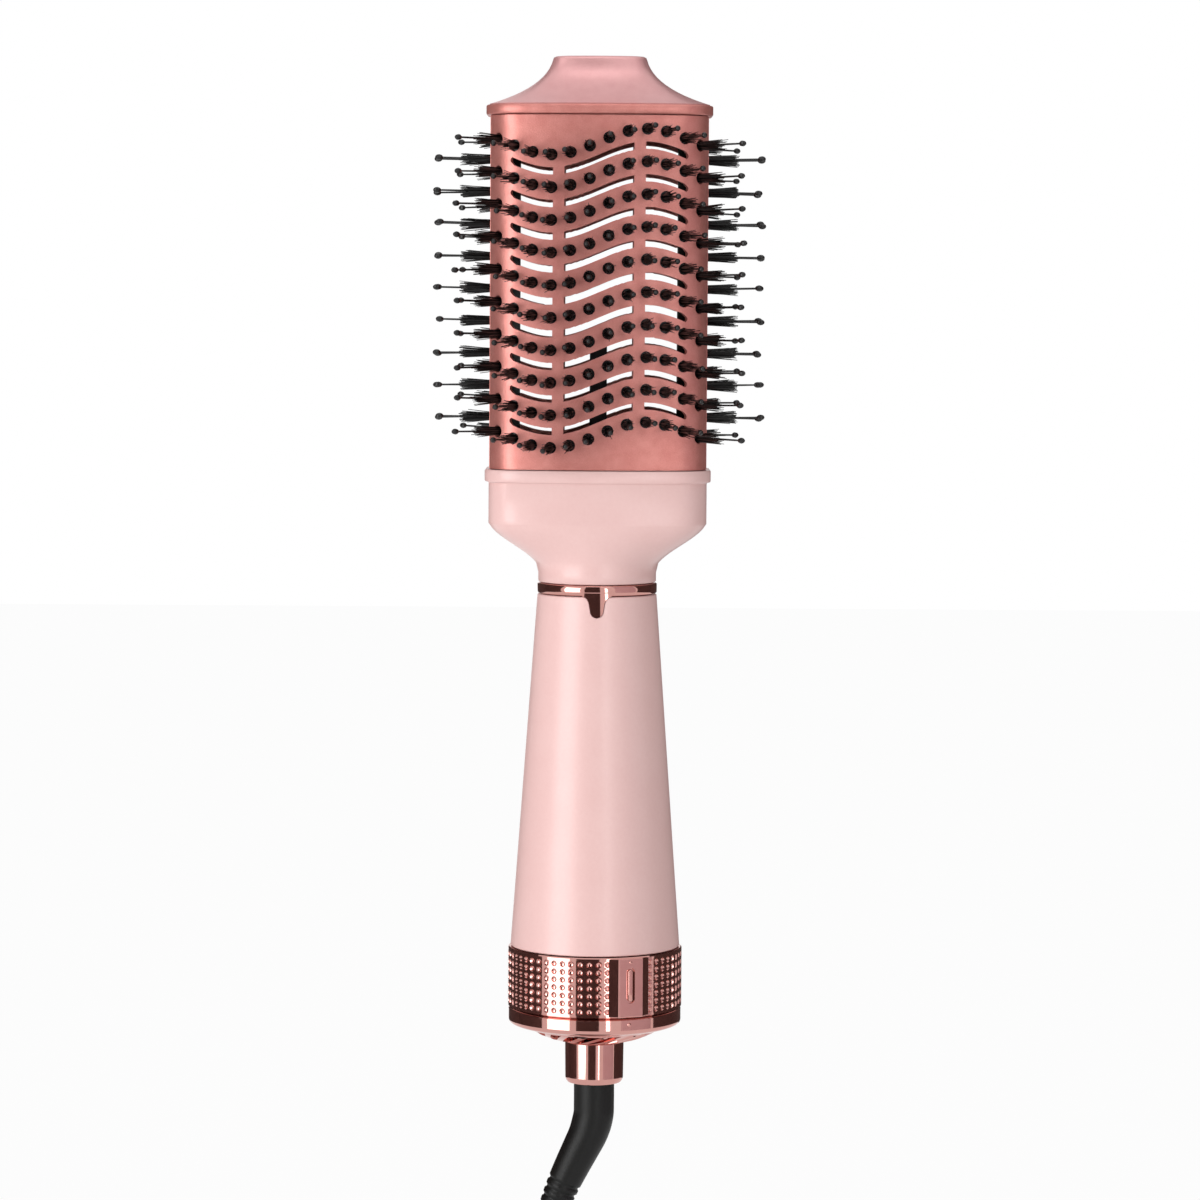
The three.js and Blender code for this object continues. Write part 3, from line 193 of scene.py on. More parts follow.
# ---- mains lead and its hank ---------------------------------------------------------------
# A round two-core rubber lead. It hangs out of the boot and runs into a folded hank of five
# turns held by a tie, under the brush; the plug hangs from the last run.
LEAD_RADIUS = 3.4
LOOP, WAIST, TIE = 20.5, 7.4, 20
RUN_TOP, RUN_BOTTOM = -205.9, -309.9
TURNS = 5
FIRST_Y, LAST_Y = -18.0, 18.0
RELIEF_HEIGHT, COAT_ROUGHNESS = 0.0004, 0.22


def unit_colour(code):
    """A screen colour, as six hex digits, in the shader's linear scale."""
    channels = [int(code[i:i + 2], 16) / 255 for i in (0, 2, 4)]
    return [c / 12.92 if c <= 0.04045 else ((c + 0.055) / 1.055) ** 2.4 for c in channels] + [1]


def surface(name, dark, light, rough, metal=0.0, grain=900, depth=0.02, coat=0.0, spread=0.05):
    """A finish whose colour drifts between two shades, with a fine grain in its relief and gloss."""
    made = bpy.data.materials.new(name)
    made.use_nodes = True
    tree = made.node_tree
    shader = tree.nodes["Principled BSDF"]
    place = tree.nodes.new("ShaderNodeTexCoord")
    cloud, fine = (tree.nodes.new("ShaderNodeTexNoise") for _ in range(2))
    for noise, scale, detail in ((cloud, grain / 12, 4), (fine, grain, 3)):
        noise.inputs["Scale"].default_value = scale
        noise.inputs["Detail"].default_value = detail
        tree.links.new(place.outputs["Object"], noise.inputs["Vector"])
    both = tree.nodes.new("ShaderNodeMix")
    both.inputs[0].default_value = 0.45
    tree.links.new(cloud.outputs["Fac"], both.inputs[2])
    tree.links.new(fine.outputs["Fac"], both.inputs[3])
    shades = tree.nodes.new("ShaderNodeValToRGB")
    for end, position, code in zip(shades.color_ramp.elements, (0.35, 0.65), (dark, light)):
        end.position = position
        end.color = unit_colour(code)
    tree.links.new(both.outputs[0], shades.inputs["Fac"])
    tree.links.new(shades.outputs["Color"], shader.inputs["Base Color"])
    gloss = tree.nodes.new("ShaderNodeMapRange")
    gloss.inputs["To Min"].default_value = max(rough - spread, 0.02)
    gloss.inputs["To Max"].default_value = min(rough + spread, 1)
    tree.links.new(fine.outputs["Fac"], gloss.inputs["Value"])
    tree.links.new(gloss.outputs["Result"], shader.inputs["Roughness"])
    relief = tree.nodes.new("ShaderNodeBump")
    relief.inputs["Strength"].default_value = depth
    relief.inputs["Distance"].default_value = RELIEF_HEIGHT
    tree.links.new(fine.outputs["Fac"], relief.inputs["Height"])
    tree.links.new(relief.outputs["Normal"], shader.inputs["Normal"])
    shader.inputs["Metallic"].default_value = metal
    shader.inputs["Coat Weight"].default_value = coat
    shader.inputs["Coat Roughness"].default_value = COAT_ROUGHNESS
    return made


black_rubber = surface("black_rubber", "080807", "0e0e0d", 0.45, grain=1500, depth=0.12, spread=0.1)
black_rubber.node_tree.nodes["Principled BSDF"].inputs["Specular IOR Level"].default_value = 0.3
black_nylon = surface("black_nylon", "070606", "100f0f", 0.36, grain=1200, depth=0.06, spread=0.08)
bright_steel = surface("bright_steel", "a9abae", "c4c6c8", 0.24, metal=1, grain=1400, depth=0.06)


def half_width(z):
    """Half the width of the hank at a height: narrow at the tie, and as wide as the loops at its ends."""
    away = max(abs(z - (RUN_TOP + RUN_BOTTOM) / 2) - TIE / 2, 0)
    share = min(away / ((RUN_TOP - RUN_BOTTOM) / 2 - TIE / 2), 1)
    return WAIST + (LOOP - WAIST) * (1 - math.cos(math.pi * share)) / 2


route = [(-14.2, 0, -150.3), (-15.05, -0.4, -153.1), (-15.9, -0.9, -156), (-17.8, -3.6, -163),
         (-19.2, -8, -170.5), (-20, -12.8, -177.5), (-20.4, -16.4, -184.5), (-20.5, -17.7, -191),
         (-LOOP, FIRST_Y, -198)]
RUN_STEPS, LOOP_STEPS = 9, 10
per_turn = 2 * (RUN_STEPS + LOOP_STEPS)
for step in range(TURNS * per_turn + RUN_STEPS + 1):
    y = FIRST_Y + (LAST_Y - FIRST_Y) * min(step / (TURNS * per_turn), 1)
    k = step % per_turn
    if k < RUN_STEPS:
        z = RUN_TOP + (RUN_BOTTOM - RUN_TOP) * k / RUN_STEPS
        route.append((-half_width(z), y, z))
    elif k < RUN_STEPS + LOOP_STEPS:
        bend = math.pi * (k - RUN_STEPS) / LOOP_STEPS
        route.append((-LOOP * math.cos(bend), y, RUN_BOTTOM - LOOP * math.sin(bend)))
    elif k < 2 * RUN_STEPS + LOOP_STEPS:
        z = RUN_BOTTOM + (RUN_TOP - RUN_BOTTOM) * (k - RUN_STEPS - LOOP_STEPS) / RUN_STEPS
        route.append((half_width(z), y, z))
    else:
        bend = math.pi * (k - 2 * RUN_STEPS - LOOP_STEPS) / LOOP_STEPS
        route.append((LOOP * math.cos(bend), y, RUN_TOP + LOOP * math.sin(bend)))
route += [(-LOOP, LAST_Y, z) for z in (-316, -322, -329.5)]

lead_curve = bpy.data.curves.new("lead", "CURVE")
lead_curve.dimensions = "3D"
lead_curve.bevel_depth = LEAD_RADIUS * MM
lead_curve.bevel_resolution = 3
lead_curve.use_fill_caps = True
lead_line = lead_curve.splines.new("POLY")
lead_line.points.add(len(route) - 1)
for point, (x, y, z) in zip(lead_line.points, route):
    point.co = (x * MM, y * MM, z * MM, 1)
lead = placed("mains_lead_run", lead_curve)
lead_curve.materials.append(black_rubber)
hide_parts("mains_lead", "cord_hank")
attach(lead, "cord_swivel")

# ---- hank tie -------------------------------------------------------------------------------
# A black woven nylon strap, wrapped once round the waist of the hank and closed on itself with
# hook and loop. It holds the turns of the lead together.
STRAP_CORNER, STRAP_THICKNESS = 5, 1.4


def shown(name, shape, finish, slot_name, body, *nodes, sharp=35):
    """Makes the shape a piece: its finish, its CAD nodes and the body that it rides on."""
    bmesh.ops.recalc_face_normals(shape, faces=shape.faces)
    made = placed(name, mesh_of(name, shape))
    made.data.materials.append(finish)
    made.data.shade_smooth()
    made.data.set_sharp_from_angle(angle=math.radians(sharp))
    if nodes:
        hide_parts(*nodes)
    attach(made, body)
    return made


def rounded(shape, edges, corner, segments):
    """Rounds some edges of a shape, with the corner in millimetres."""
    bmesh.ops.bevel(shape, geom=edges, offset=corner * MM, segments=segments, affect="EDGES",
                    profile=0.5, material=-1)


tie_low, tie_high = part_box("hank_tie")
strap = bmesh.new()
bmesh.ops.create_cube(strap, size=1)
bmesh.ops.scale(strap, vec=tie_high - tie_low, verts=strap.verts)
bmesh.ops.translate(strap, vec=(tie_low + tie_high) / 2, verts=strap.verts)
bmesh.ops.delete(strap, geom=[f for f in strap.faces if abs(f.normal.z) > 0.5], context="FACES_ONLY")
upright = [e for e in strap.edges if abs(e.verts[0].co.z - e.verts[1].co.z) > 0.01]
rounded(strap, upright, STRAP_CORNER, 5)
bmesh.ops.recalc_face_normals(strap, faces=strap.faces)
bmesh.ops.solidify(strap, geom=strap.faces[:], thickness=STRAP_THICKNESS * MM)
tie = shown("hank_strap", strap, black_nylon, "black_nylon", "cord_swivel", "hank_tie")

# ---- mains plug -----------------------------------------------------------------------------
# A rubber two-blade plug, moulded on the end of the lead, with a ribbed neck that flexes. The
# blades are bright nickelled steel, held in the moulding.
PLUG_RIBS, RIB_STEP, BLADE_CORNER = 4, 3, 0.35


def block(shape, low, high, corner):
    """Adds a box between two corners in millimetres, its edges rounded."""
    made = bmesh.ops.create_cube(shape, size=1)["verts"]
    low, high = Vector(low) * MM, Vector(high) * MM
    bmesh.ops.scale(shape, vec=high - low, verts=made)
    bmesh.ops.translate(shape, vec=(low + high) / 2, verts=made)
    rounded(shape, list({e for v in made for e in v.link_edges}), corner, 2)


def spun(shape, profile, steps, centre=(0, 0), sweep=2 * math.pi, start=0.0):
    """Spins a [radius, z] profile, in millimetres, about a vertical axis through centre."""
    verts = [shape.verts.new((centre[0] * MM + r * MM * math.sin(start),
                              centre[1] * MM - r * MM * math.cos(start), z * MM)) for r, z in profile]
    edges = [shape.edges.new(pair) for pair in zip(verts, verts[1:])]
    full = abs(sweep - 2 * math.pi) < 1e-6
    bmesh.ops.spin(shape, geom=verts + edges, cent=(centre[0] * MM, centre[1] * MM, 0), axis=(0, 0, 1),
                   angle=sweep, steps=steps, use_merge=full)
    bmesh.ops.remove_doubles(shape, verts=shape.verts, dist=1e-6)


plug_low, plug_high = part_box("plug_body")
plug_x = (plug_low.x + plug_high.x) / 2 / MM
plug_y = (plug_low.y + plug_high.y) / 2 / MM
plug_top, plug_foot = plug_high.z / MM, plug_low.z / MM
neck = [(0, plug_top), (3.9, plug_top), (4.4, plug_top - 0.6)]
for rib in range(PLUG_RIBS):
    z = plug_top - 2 - RIB_STEP * rib
    neck += [(4.5, z), (4.5, z - 1.4), (3.8, z - 1.7), (3.8, z - 2.6)]
profile = neck + [(5.4, plug_top - 14.5), (7.5, plug_top - 17), (10.4, plug_top - 19.5),
                  (11.2, plug_top - 22), (11.9, plug_foot + 1), (11.2, plug_foot), (0, plug_foot)]
plug_shape = bmesh.new()
spun(plug_shape, profile, 48, (plug_x, plug_y))
plug = shown("plug_moulding", plug_shape, black_rubber, "black_rubber", "cord_swivel", "plug_body")
for side in ("left", "right"):
    low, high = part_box("plug_blade_" + side)
    blade_shape = bmesh.new()
    block(blade_shape, low / MM, high / MM, BLADE_CORNER)
    shown("blade_" + side, blade_shape, bright_steel, "steel", "cord_swivel",
                        "plug_blade_" + side)

# ---- barrel shells --------------------------------------------------------------------------
# Two pressed aluminium skins with a satin metallic rose coat. Each has twelve round tuft holes
# in every row and three wavy air slots between rows, so that one sees straight through the head.
HALF_W, HALF_D = 35.3, 22.5
CROWN, CORNER = 120.0, 11.5
CROWN_TURN = math.asin((HALF_W - CORNER) / (CROWN - CORNER))
CROWN_RUN = CROWN * CROWN_TURN
CORNER_X = (CROWN - CORNER) * math.sin(CROWN_TURN)
CORNER_Y = HALF_D - CROWN + (CROWN - CORNER) * math.cos(CROWN_TURN)
PITCH, ROW_GAP, ROWS, COLUMNS = 6.17, 10.45, 10, 12
shell_low, shell_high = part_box("front_barrel_shell")
BARREL_FOOT, BARREL_HEAD = shell_low.z / MM, shell_high.z / MM
ROW_MIDDLE = (BARREL_FOOT + BARREL_HEAD) / 2 + 1.4
HOLE = 1.95
SLOT_HALF = 1.15
SLOTS = [(-28.6, -14.9), (-11.2, 11.2), (14.9, 28.6)]
SEAM = 6.5 * PITCH - 0.05
SKIN_WALL, FACE_LIP, STRIP_LIP = 1.6, 0.22, 0.2
MERGED, SLIVER = 0.2, 0.05


def wave(x):
    """How far the rows and slots rise at a place across the front."""
    return 4.2 * math.sin(2 * math.pi * x / 61)


def row_level(row):
    return ROW_MIDDLE + ((ROWS - 1) / 2 - row) * ROW_GAP


def skin_point(distance, inset=0.0):
    """The point and the outward direction at a distance along the front of the oval section."""
    side = -1 if distance < 0 else 1
    along = abs(distance)
    if along <= CROWN_RUN:
        turned = along / CROWN
        radius = CROWN - inset
        x, y = radius * math.sin(turned), CROWN - HALF_D - radius * math.cos(turned)
    else:
        turned = min(CROWN_TURN + (along - CROWN_RUN) / CORNER, math.pi / 2)
        radius = CORNER - inset
        x, y = CORNER_X + radius * math.sin(turned), -CORNER_Y - radius * math.cos(turned)
    return side * x, y, Vector((side * math.sin(turned), -math.cos(turned), 0))


def skin_distance(x):
    """The distance along the section at which the skin is x from the middle."""
    low, high = 0.0, 6.5 * PITCH
    for _ in range(30):
        middle = (low + high) / 2
        if skin_point(middle)[0] < abs(x):
            low = middle
        else:
            high = middle
    return math.copysign(low, x)


def column_place(column):
    return (column - (COLUMNS - 1) / 2) * PITCH


def slot_level(row):
    return row_level(row) - ROW_GAP / 2


def as_it_stands(thing):
    """A mesh of an object as its curve or its modifiers leave it."""
    bpy.context.view_layer.update()
    return bpy.data.meshes.new_from_object(thing.evaluated_get(bpy.context.evaluated_depsgraph_get()))


def punched_sheet(outlines, cuts=()):
    """A flat sheet with its holes, cut where it will be bent, and cleared of slivers by merging."""
    curve = bpy.data.curves.new("sheet", "CURVE")
    curve.dimensions = "2D"
    curve.fill_mode = "BOTH"
    for points in outlines:
        line = curve.splines.new("POLY")
        line.points.add(len(points) - 1)
        for point, (s, z) in zip(line.points, points):
            point.co = (s, z, 0, 1)
        line.use_cyclic_u = True
    holder = placed("sheet", curve)
    data = as_it_stands(holder)
    bpy.data.objects.remove(holder)
    sheet = bmesh.new()
    sheet.from_mesh(data)
    bpy.data.meshes.remove(data)
    bmesh.ops.remove_doubles(sheet, verts=sheet.verts, dist=1e-4)
    for place in cuts:
        bmesh.ops.bisect_plane(sheet, geom=sheet.verts[:] + sheet.edges[:] + sheet.faces[:], dist=1e-5,
                               plane_co=(place, 0, 0), plane_no=(1, 0, 0))
    bmesh.ops.remove_doubles(sheet, verts=sheet.verts, dist=MERGED)
    bmesh.ops.dissolve_degenerate(sheet, edges=sheet.edges, dist=SLIVER)
    return sheet


def blank(half):
    """The outline of a sheet as high as the barrel, from -half to half across."""
    return [(-half, BARREL_FOOT), (half, BARREL_FOOT), (half, BARREL_HEAD), (-half, BARREL_HEAD)]


def face_out(sheet, outwards):
    """Turns the faces of a bent sheet over if most of them look inwards."""
    if sum(face.normal.dot(Vector(outwards)) for face in sheet.faces) < 0:
        bmesh.ops.reverse_faces(sheet, faces=sheet.faces)


def walled(made, lip_width):
    """Gives a sheet its wall, inwards, and small rounded lips; returns the modifier of the lips."""
    wall = made.modifiers.new("wall", "SOLIDIFY")
    wall.thickness = SKIN_WALL * MM
    wall.offset = -1
    lip = made.modifiers.new("lip", "BEVEL")
    lip.width = lip_width * MM
    lip.segments = 2
    return lip


def ring_points(s, z, radius, count=14):
    turns = [2 * math.pi * k / count for k in range(count)]
    return [(s + radius * math.cos(t), z + radius * math.sin(t)) for t in turns]


def slot_points(x0, x1, z):
    """A wavy slot, square towards the middle and round at its outer end, its places along the skin."""
    round_start, round_end = x0 + x1 < 0, x0 + x1 > 0
    start = x0 + SLOT_HALF * round_start
    end = x1 - SLOT_HALF * round_end
    steps = max(int((x1 - x0) / 1.8), 4)
    inner = [start + (end - start) * k / steps for k in range(steps + 1)]
    nose = [(SLOT_HALF * math.sin(t), SLOT_HALF * math.cos(t)) for t in (0.5, 1.05, 1.57, 2.1, 2.64)]
    points = [(skin_distance(x), z + wave(x) + SLOT_HALF) for x in inner]
    if round_end:
        points += [(skin_distance(end + dx), z + wave(x1) + dz) for dx, dz in nose]
    points += [(skin_distance(x), z + wave(x) - SLOT_HALF) for x in reversed(inner)]
    if round_start:
        points += [(skin_distance(start - dx), z + wave(x0) - dz) for dx, dz in nose]
    return points


satin_rose = surface("satin_rose", "cb7d75", "d98f86", 0.33, metal=0.5, grain=3200, depth=0.26, spread=0.06)
outlines = [blank(SEAM)]
for row in range(ROWS):
    for column in range(COLUMNS):
        s = column_place(column)
        outlines.append(ring_points(s, row_level(row) + wave(skin_point(s)[0]), HOLE))
    if row < ROWS - 1:
        outlines += [slot_points(x0, x1, slot_level(row)) for x0, x1 in SLOTS]
bends = [k * 2.0 for k in range(-12, 13)] + [side * (24 + 1.2 * k) for side in (-1, 1) for k in range(1, 14)]
for facing, name in ((-1, "front"), (1, "rear")):
    sheet = punched_sheet(outlines, bends)
    for vert in sheet.verts:
        x, y, _ = skin_point(vert.co.x)
        vert.co = Vector((x, -facing * y, vert.co.y)) * MM
    for face in sheet.faces:
        face.normal_update()
    face_out(sheet, (0, facing, 0))
    skin = placed(name + "_skin", mesh_of(name + "_skin", sheet))
    skin.data.materials.append(satin_rose)
    skin.data.shade_smooth()
    lip = walled(skin, FACE_LIP)
    lip.limit_method = "ANGLE"
    lip.angle_limit = math.radians(60)
    lip.harden_normals = True
    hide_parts(name + "_barrel_shell")
    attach(skin, "root")

# ---- side strips ----------------------------------------------------------------------------
# Narrow flat skins of the same coated aluminium between the two shells, with two columns of
# tuft holes at the levels of the air slots.
EDGE_Y, STRIP_HALF = 5.2, 9.9
for side, name in ((-1, "left"), (1, "right")):
    outlines = [blank(STRIP_HALF)]
    for row in range(ROWS - 1):
        outlines += [ring_points(y, slot_level(row), HOLE) for y in (-EDGE_Y, EDGE_Y)]
    strip = punched_sheet(outlines)
    for vert in strip.verts:
        vert.co = Vector((side * HALF_W, vert.co.x, vert.co.y)) * MM
    bmesh.ops.recalc_face_normals(strip, faces=strip.faces)
    face_out(strip, (side, 0, 0))
    made = placed(name + "_strip", mesh_of(name + "_strip", strip))
    made.data.materials.append(satin_rose)
    walled(made, STRIP_LIP)
    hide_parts(name + "_side_strip")
    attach(made, "root")

# ---- bristle rows ---------------------------------------------------------------------------
# Each row is a wavy black nylon carrier behind the skin. Every hole holds a bushy tuft of fine
# bristles and a longer pin with a ball tip that keeps the hot metal off the scalp.
chance = random.Random(41)
FIBRES, TUFT_RADIUS, TUFT_ROOT = 34, 1.35, 2.2
GOLDEN_TURN = 2.39996
PIN_ROOT, PIN_LEAN, BALL_RADIUS = 2, 0.035, 0.98
BAR_RUN, BAR_HEIGHT = 6 * PITCH, 5.2
BAR_INSET, BAR_WALL = 1.95, 1.1


def tuft_shapes(count):
    """A few tufts that point along +Z from the skin's surface, in metres, kept to be copied."""
    kept = []
    for _ in range(count):
        tuft = bmesh.new()
        for fibre in range(FIBRES):
            reach = chance.uniform(7.2, 10.2)
            out = math.sqrt((fibre + 0.5) / FIBRES) * TUFT_RADIUS
            turned = fibre * GOLDEN_TURN + chance.uniform(-0.2, 0.2)
            made = bmesh.ops.create_cone(tuft, segments=3, radius1=0.18 * MM, radius2=0.12 * MM,
                                         depth=(reach + TUFT_ROOT) * MM, cap_ends=True)["verts"]
            bmesh.ops.translate(tuft, vec=(0, 0, (reach - TUFT_ROOT) / 2 * MM), verts=made)
            lean = out / TUFT_RADIUS * chance.uniform(0.02, 0.12)
            bmesh.ops.rotate(tuft, verts=made, matrix=Matrix.Rotation(lean, 3, "Y"))
            bmesh.ops.translate(tuft, vec=(out * MM, 0, 0), verts=made)
            bmesh.ops.rotate(tuft, verts=made, matrix=Matrix.Rotation(turned, 3, "Z"))
        pin_reach = chance.uniform(16.8, 18.9)
        pin = bmesh.ops.create_cone(tuft, segments=6, radius1=0.36 * MM, radius2=0.3 * MM,
                                    depth=(pin_reach + PIN_ROOT) * MM, cap_ends=True)["verts"]
        bmesh.ops.translate(tuft, vec=(0, 0, (pin_reach - PIN_ROOT) / 2 * MM), verts=pin)
        ball = bmesh.ops.create_uvsphere(tuft, u_segments=8, v_segments=6, radius=BALL_RADIUS * MM)["verts"]
        bmesh.ops.scale(tuft, vec=(1, 1, 1.35), verts=ball)
        bmesh.ops.translate(tuft, vec=(0, 0, (pin_reach - 0.5) * MM), verts=ball)
        lean = Matrix.Rotation(chance.uniform(-PIN_LEAN, PIN_LEAN), 3, "X") @ \
            Matrix.Rotation(chance.uniform(-PIN_LEAN, PIN_LEAN), 3, "Y")
        bmesh.ops.rotate(tuft, verts=pin + ball, matrix=lean)
        kept.append(mesh_of("tuft", tuft))
    return kept


def plant(shape, tufts, place, out):
    """Adds a tuft at a place on the skin, in millimetres, pointing outwards and turned by chance."""
    planted = set(shape.verts)
    shape.from_mesh(chance.choice(tufts))
    fresh = [v for v in shape.verts if v not in planted]
    facing = out.to_track_quat("Z", "Y").to_matrix() @ Matrix.Rotation(chance.uniform(0, 6.28), 3, "Z")
    bmesh.ops.rotate(shape, verts=fresh, matrix=facing)
    bmesh.ops.translate(shape, verts=fresh, vec=Vector(place) * MM)


tufts = tuft_shapes(8)
for row in range(ROWS):
    for facing, name in ((-1, "front"), (1, "rear")):
        carrier = bmesh.new()
        bmesh.ops.create_grid(carrier, x_segments=44, y_segments=4, size=0.5)
        for vert in carrier.verts:
            across, up = vert.co.x * 2 * BAR_RUN, vert.co.y * BAR_HEIGHT
            x, y, _ = skin_point(across, BAR_INSET)
            outer_x = skin_point(across)[0]
            vert.co = Vector((x, -facing * y, row_level(row) + wave(outer_x) + up)) * MM
        bmesh.ops.recalc_face_normals(carrier, faces=carrier.faces)
        face_out(carrier, (0, facing, 0))
        bmesh.ops.solidify(carrier, geom=carrier.faces[:], thickness=BAR_WALL * MM)
        for column in range(COLUMNS):
            x, y, out = skin_point(column_place(column))
            out = Vector((out.x, -facing * out.y, 0))
            plant(carrier, tufts, (x, -facing * y, row_level(row) + wave(x)), out)
        shown(f"{name}_row_{row + 1}", carrier, black_nylon, "black_nylon", "root",
              f"{name}_bristle_row_{row + 1}")

# ---- edge bristles --------------------------------------------------------------------------
# A channel-shaped nylon rail behind each side strip carries two columns of the same tufts. It is
# held between the shells, and its tufts stand out through the holes of the strip.
RAIL_INSET, RAIL_WALL, RAIL_HALF, RAIL_CORNER = 1.9, 1.5, 9, 0.3
FLANGE_AT, FLANGE_HALF, FLANGE_END = 8.25, 0.75, 25.7
for side, name in ((-1, "left"), (1, "right")):
    low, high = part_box(name + "_edge_bristles")
    face = HALF_W - RAIL_INSET
    rail = bmesh.new()
    near, far = sorted((side * face, side * (face - RAIL_WALL)))
    block(rail, (near, -RAIL_HALF, low.z / MM), (far, RAIL_HALF, high.z / MM), RAIL_CORNER)
    near, far = sorted((side * (face - RAIL_WALL - 0.1), side * FLANGE_END))
    for y in (-FLANGE_AT, FLANGE_AT):
        block(rail, (near, y - FLANGE_HALF, low.z / MM), (far, y + FLANGE_HALF, high.z / MM), RAIL_CORNER)
    for row in range(ROWS - 1):
        for y in (-EDGE_Y, EDGE_Y):
            plant(rail, tufts, (side * HALF_W, y, slot_level(row)), Vector((side, 0, 0)))
    shown(name + "_edge_tufts", rail, black_nylon, "black_nylon", "root", name + "_edge_bristles")

# ---- tip cap --------------------------------------------------------------------------------
# The cool tip, one colour in itself: a thin rim over the barrel's mouth, given the barrel's darker
# satin coat as a painted sheen, and a flare in a paler coat that sweeps up to a small flat crown.
LOFT_VERTS = 96
RIM_HEIGHT, RIM_OUT, FLARE_STEPS = 3.2, 1.4, 12


def oval_radius(turned, inset):
    """How far from the axis the oval section lies at a turn, when it is drawn in by an inset."""
    sx, sy = abs(math.sin(turned)), abs(math.cos(turned))
    flat = (HALF_W - inset) / max(sx, 1e-9)
    if flat * sy <= CORNER_Y:
        return flat

    def on_circle(cx, cy, radius):
        along = cx * sx + cy * sy
        return along + math.sqrt(max(radius * radius - cx * cx - cy * cy + along * along, 0))

    corner = on_circle(CORNER_X, CORNER_Y, CORNER - inset)
    if corner * sx >= (CROWN - inset) * math.sin(CROWN_TURN):
        return corner
    return on_circle(0, HALF_D - CROWN, CROWN - inset)


def oval(inset, z, scale=1.0):
    return lambda turned: (scale * oval_radius(turned, inset), z)


def circle(radius, z):
    return lambda turned: (radius, z)


def blended(first, second, share, z):
    return lambda turned: (first(turned)[0] * (1 - share) + second(turned)[0] * share, z)


def extruded(shape, edges):
    """Extrudes a loop of edges; returns the edges and the verts of the new loop."""
    grown = bmesh.ops.extrude_edge_only(shape, edges=edges)["geom"]
    fresh = {g for g in grown if isinstance(g, bmesh.types.BMVert)}
    return [g for g in grown if isinstance(g, bmesh.types.BMEdge) and all(v in fresh for v in g.verts)], fresh


def stacked(shape, rings, closed=False):
    """Makes a skin of rings of places, in millimetres, each extruded from the one before."""
    ring = bmesh.ops.create_circle(shape, segments=len(rings[0]), radius=1)["verts"]
    first = edges = shape.edges[:]
    for number, places in enumerate(rings):
        if number:
            edges, fresh = extruded(shape, edges)
            ring = [next(e.other_vert(v) for e in v.link_edges if e.other_vert(v) in fresh) for v in ring]
        for vert, place in zip(ring, places):
            vert.co = Vector(place) * MM
    if closed:
        bmesh.ops.bridge_loops(shape, edges=first + edges)
    else:
        for loop in (first, edges):
            bmesh.ops.contextual_create(shape, geom=loop)


def lofted(shape, stations, closed=False):
    """Stacks one ring to a station, which gives a radius and a height at each turn."""
    turns = [2 * math.pi * k / LOFT_VERTS for k in range(LOFT_VERTS)]
    rings = []
    for station in stations:
        spots = [(turned, *station(turned)) for turned in turns]
        rings.append([(radius * math.sin(t), -radius * math.cos(t), z) for t, radius, z in spots])
    stacked(shape, rings, closed)


cap_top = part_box("tip_cap")[1].z / MM
cap_foot = BARREL_HEAD + 0.3
rim_top = cap_foot + RIM_HEIGHT
rim_stations = [oval(3.6, cap_foot), oval(0.3 - RIM_OUT, cap_foot), oval(-RIM_OUT, cap_foot + 0.35),
                oval(-RIM_OUT, rim_top - 0.5), oval(0.3 - RIM_OUT, rim_top - 0.1), oval(-0.4, rim_top + 0.05),
                oval(3.6, rim_top + 0.05)]
cap_rim = bmesh.new()
lofted(cap_rim, rim_stations, closed=True)
# The rim's darker satin rose is a painted sheen: the real cap is one colour all over.
shown("tip_cap_rim_painted_sheen", cap_rim, satin_rose, "satin_rose", "root", sharp=50)
stations = [oval(0.2, rim_top - 1)]
start, pull, end = (1.01, rim_top + 0.25), (0.495, rim_top + 5.9), (0.432, cap_top - 1.1)
for k in range(FLARE_STEPS + 1):
    t = k / FLARE_STEPS
    scale, z = (a * (1 - t) ** 2 + 2 * b * t * (1 - t) + c * t * t for a, b, c in zip(start, pull, end))
    stations.append(oval(0, z, scale))
stations += [oval(0, cap_top - 0.5, 0.425), oval(0, cap_top - 0.12, 0.405), oval(0, cap_top, 0.37),
             oval(0, cap_top, 0.2)]
cap_coat = surface("cap_coat", "d8a0a0", "dfa9a9", 0.36, metal=0.45, grain=3200, depth=0.12, spread=0.05)
cap_shape = bmesh.new()
lofted(cap_shape, stations)
shown("tip_cap_shell", cap_shape, cap_coat, "satin_rose", "root", "tip_cap", sharp=50)

# ---- collar ---------------------------------------------------------------------------------
# A glossy pale pink moulding: a thin lip under the barrel, an oval body, and a cone that closes
# to the round handle. It is hollow, and its spigots reach into the barrel and the handle.
pink_gloss = surface("pink_gloss", "e9c0bc", "ecc5c1", 0.34, grain=900, depth=0.008, coat=0.18, spread=0.04)
collar_low, collar_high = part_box("barrel_collar")
COLLAR_FOOT, CONE_FOOT, CONE_TOP = 61.4, 69.9, 80.4
LIP_FOOT, LIP_HEAD = 94.4, 98.3
COLLAR_BORE, SPIGOT_RADIUS, NECK_RADIUS = 14.5, 16.7, 19.3
BODY_INSET, LIP_INSET, CONE_STEPS = -0.2, -1.5, 12
collar_start, collar_end = collar_low.z / MM, collar_high.z / MM
cone_start = COLLAR_FOOT + 5
neck, shoulder = circle(NECK_RADIUS, COLLAR_FOOT), oval(BODY_INSET, CONE_TOP)
stations = [circle(COLLAR_BORE, collar_start), circle(SPIGOT_RADIUS, collar_start),
            circle(SPIGOT_RADIUS, COLLAR_FOOT), circle(19.0, COLLAR_FOOT),
            circle(NECK_RADIUS, COLLAR_FOOT + 0.3), circle(NECK_RADIUS, COLLAR_FOOT + 3)]
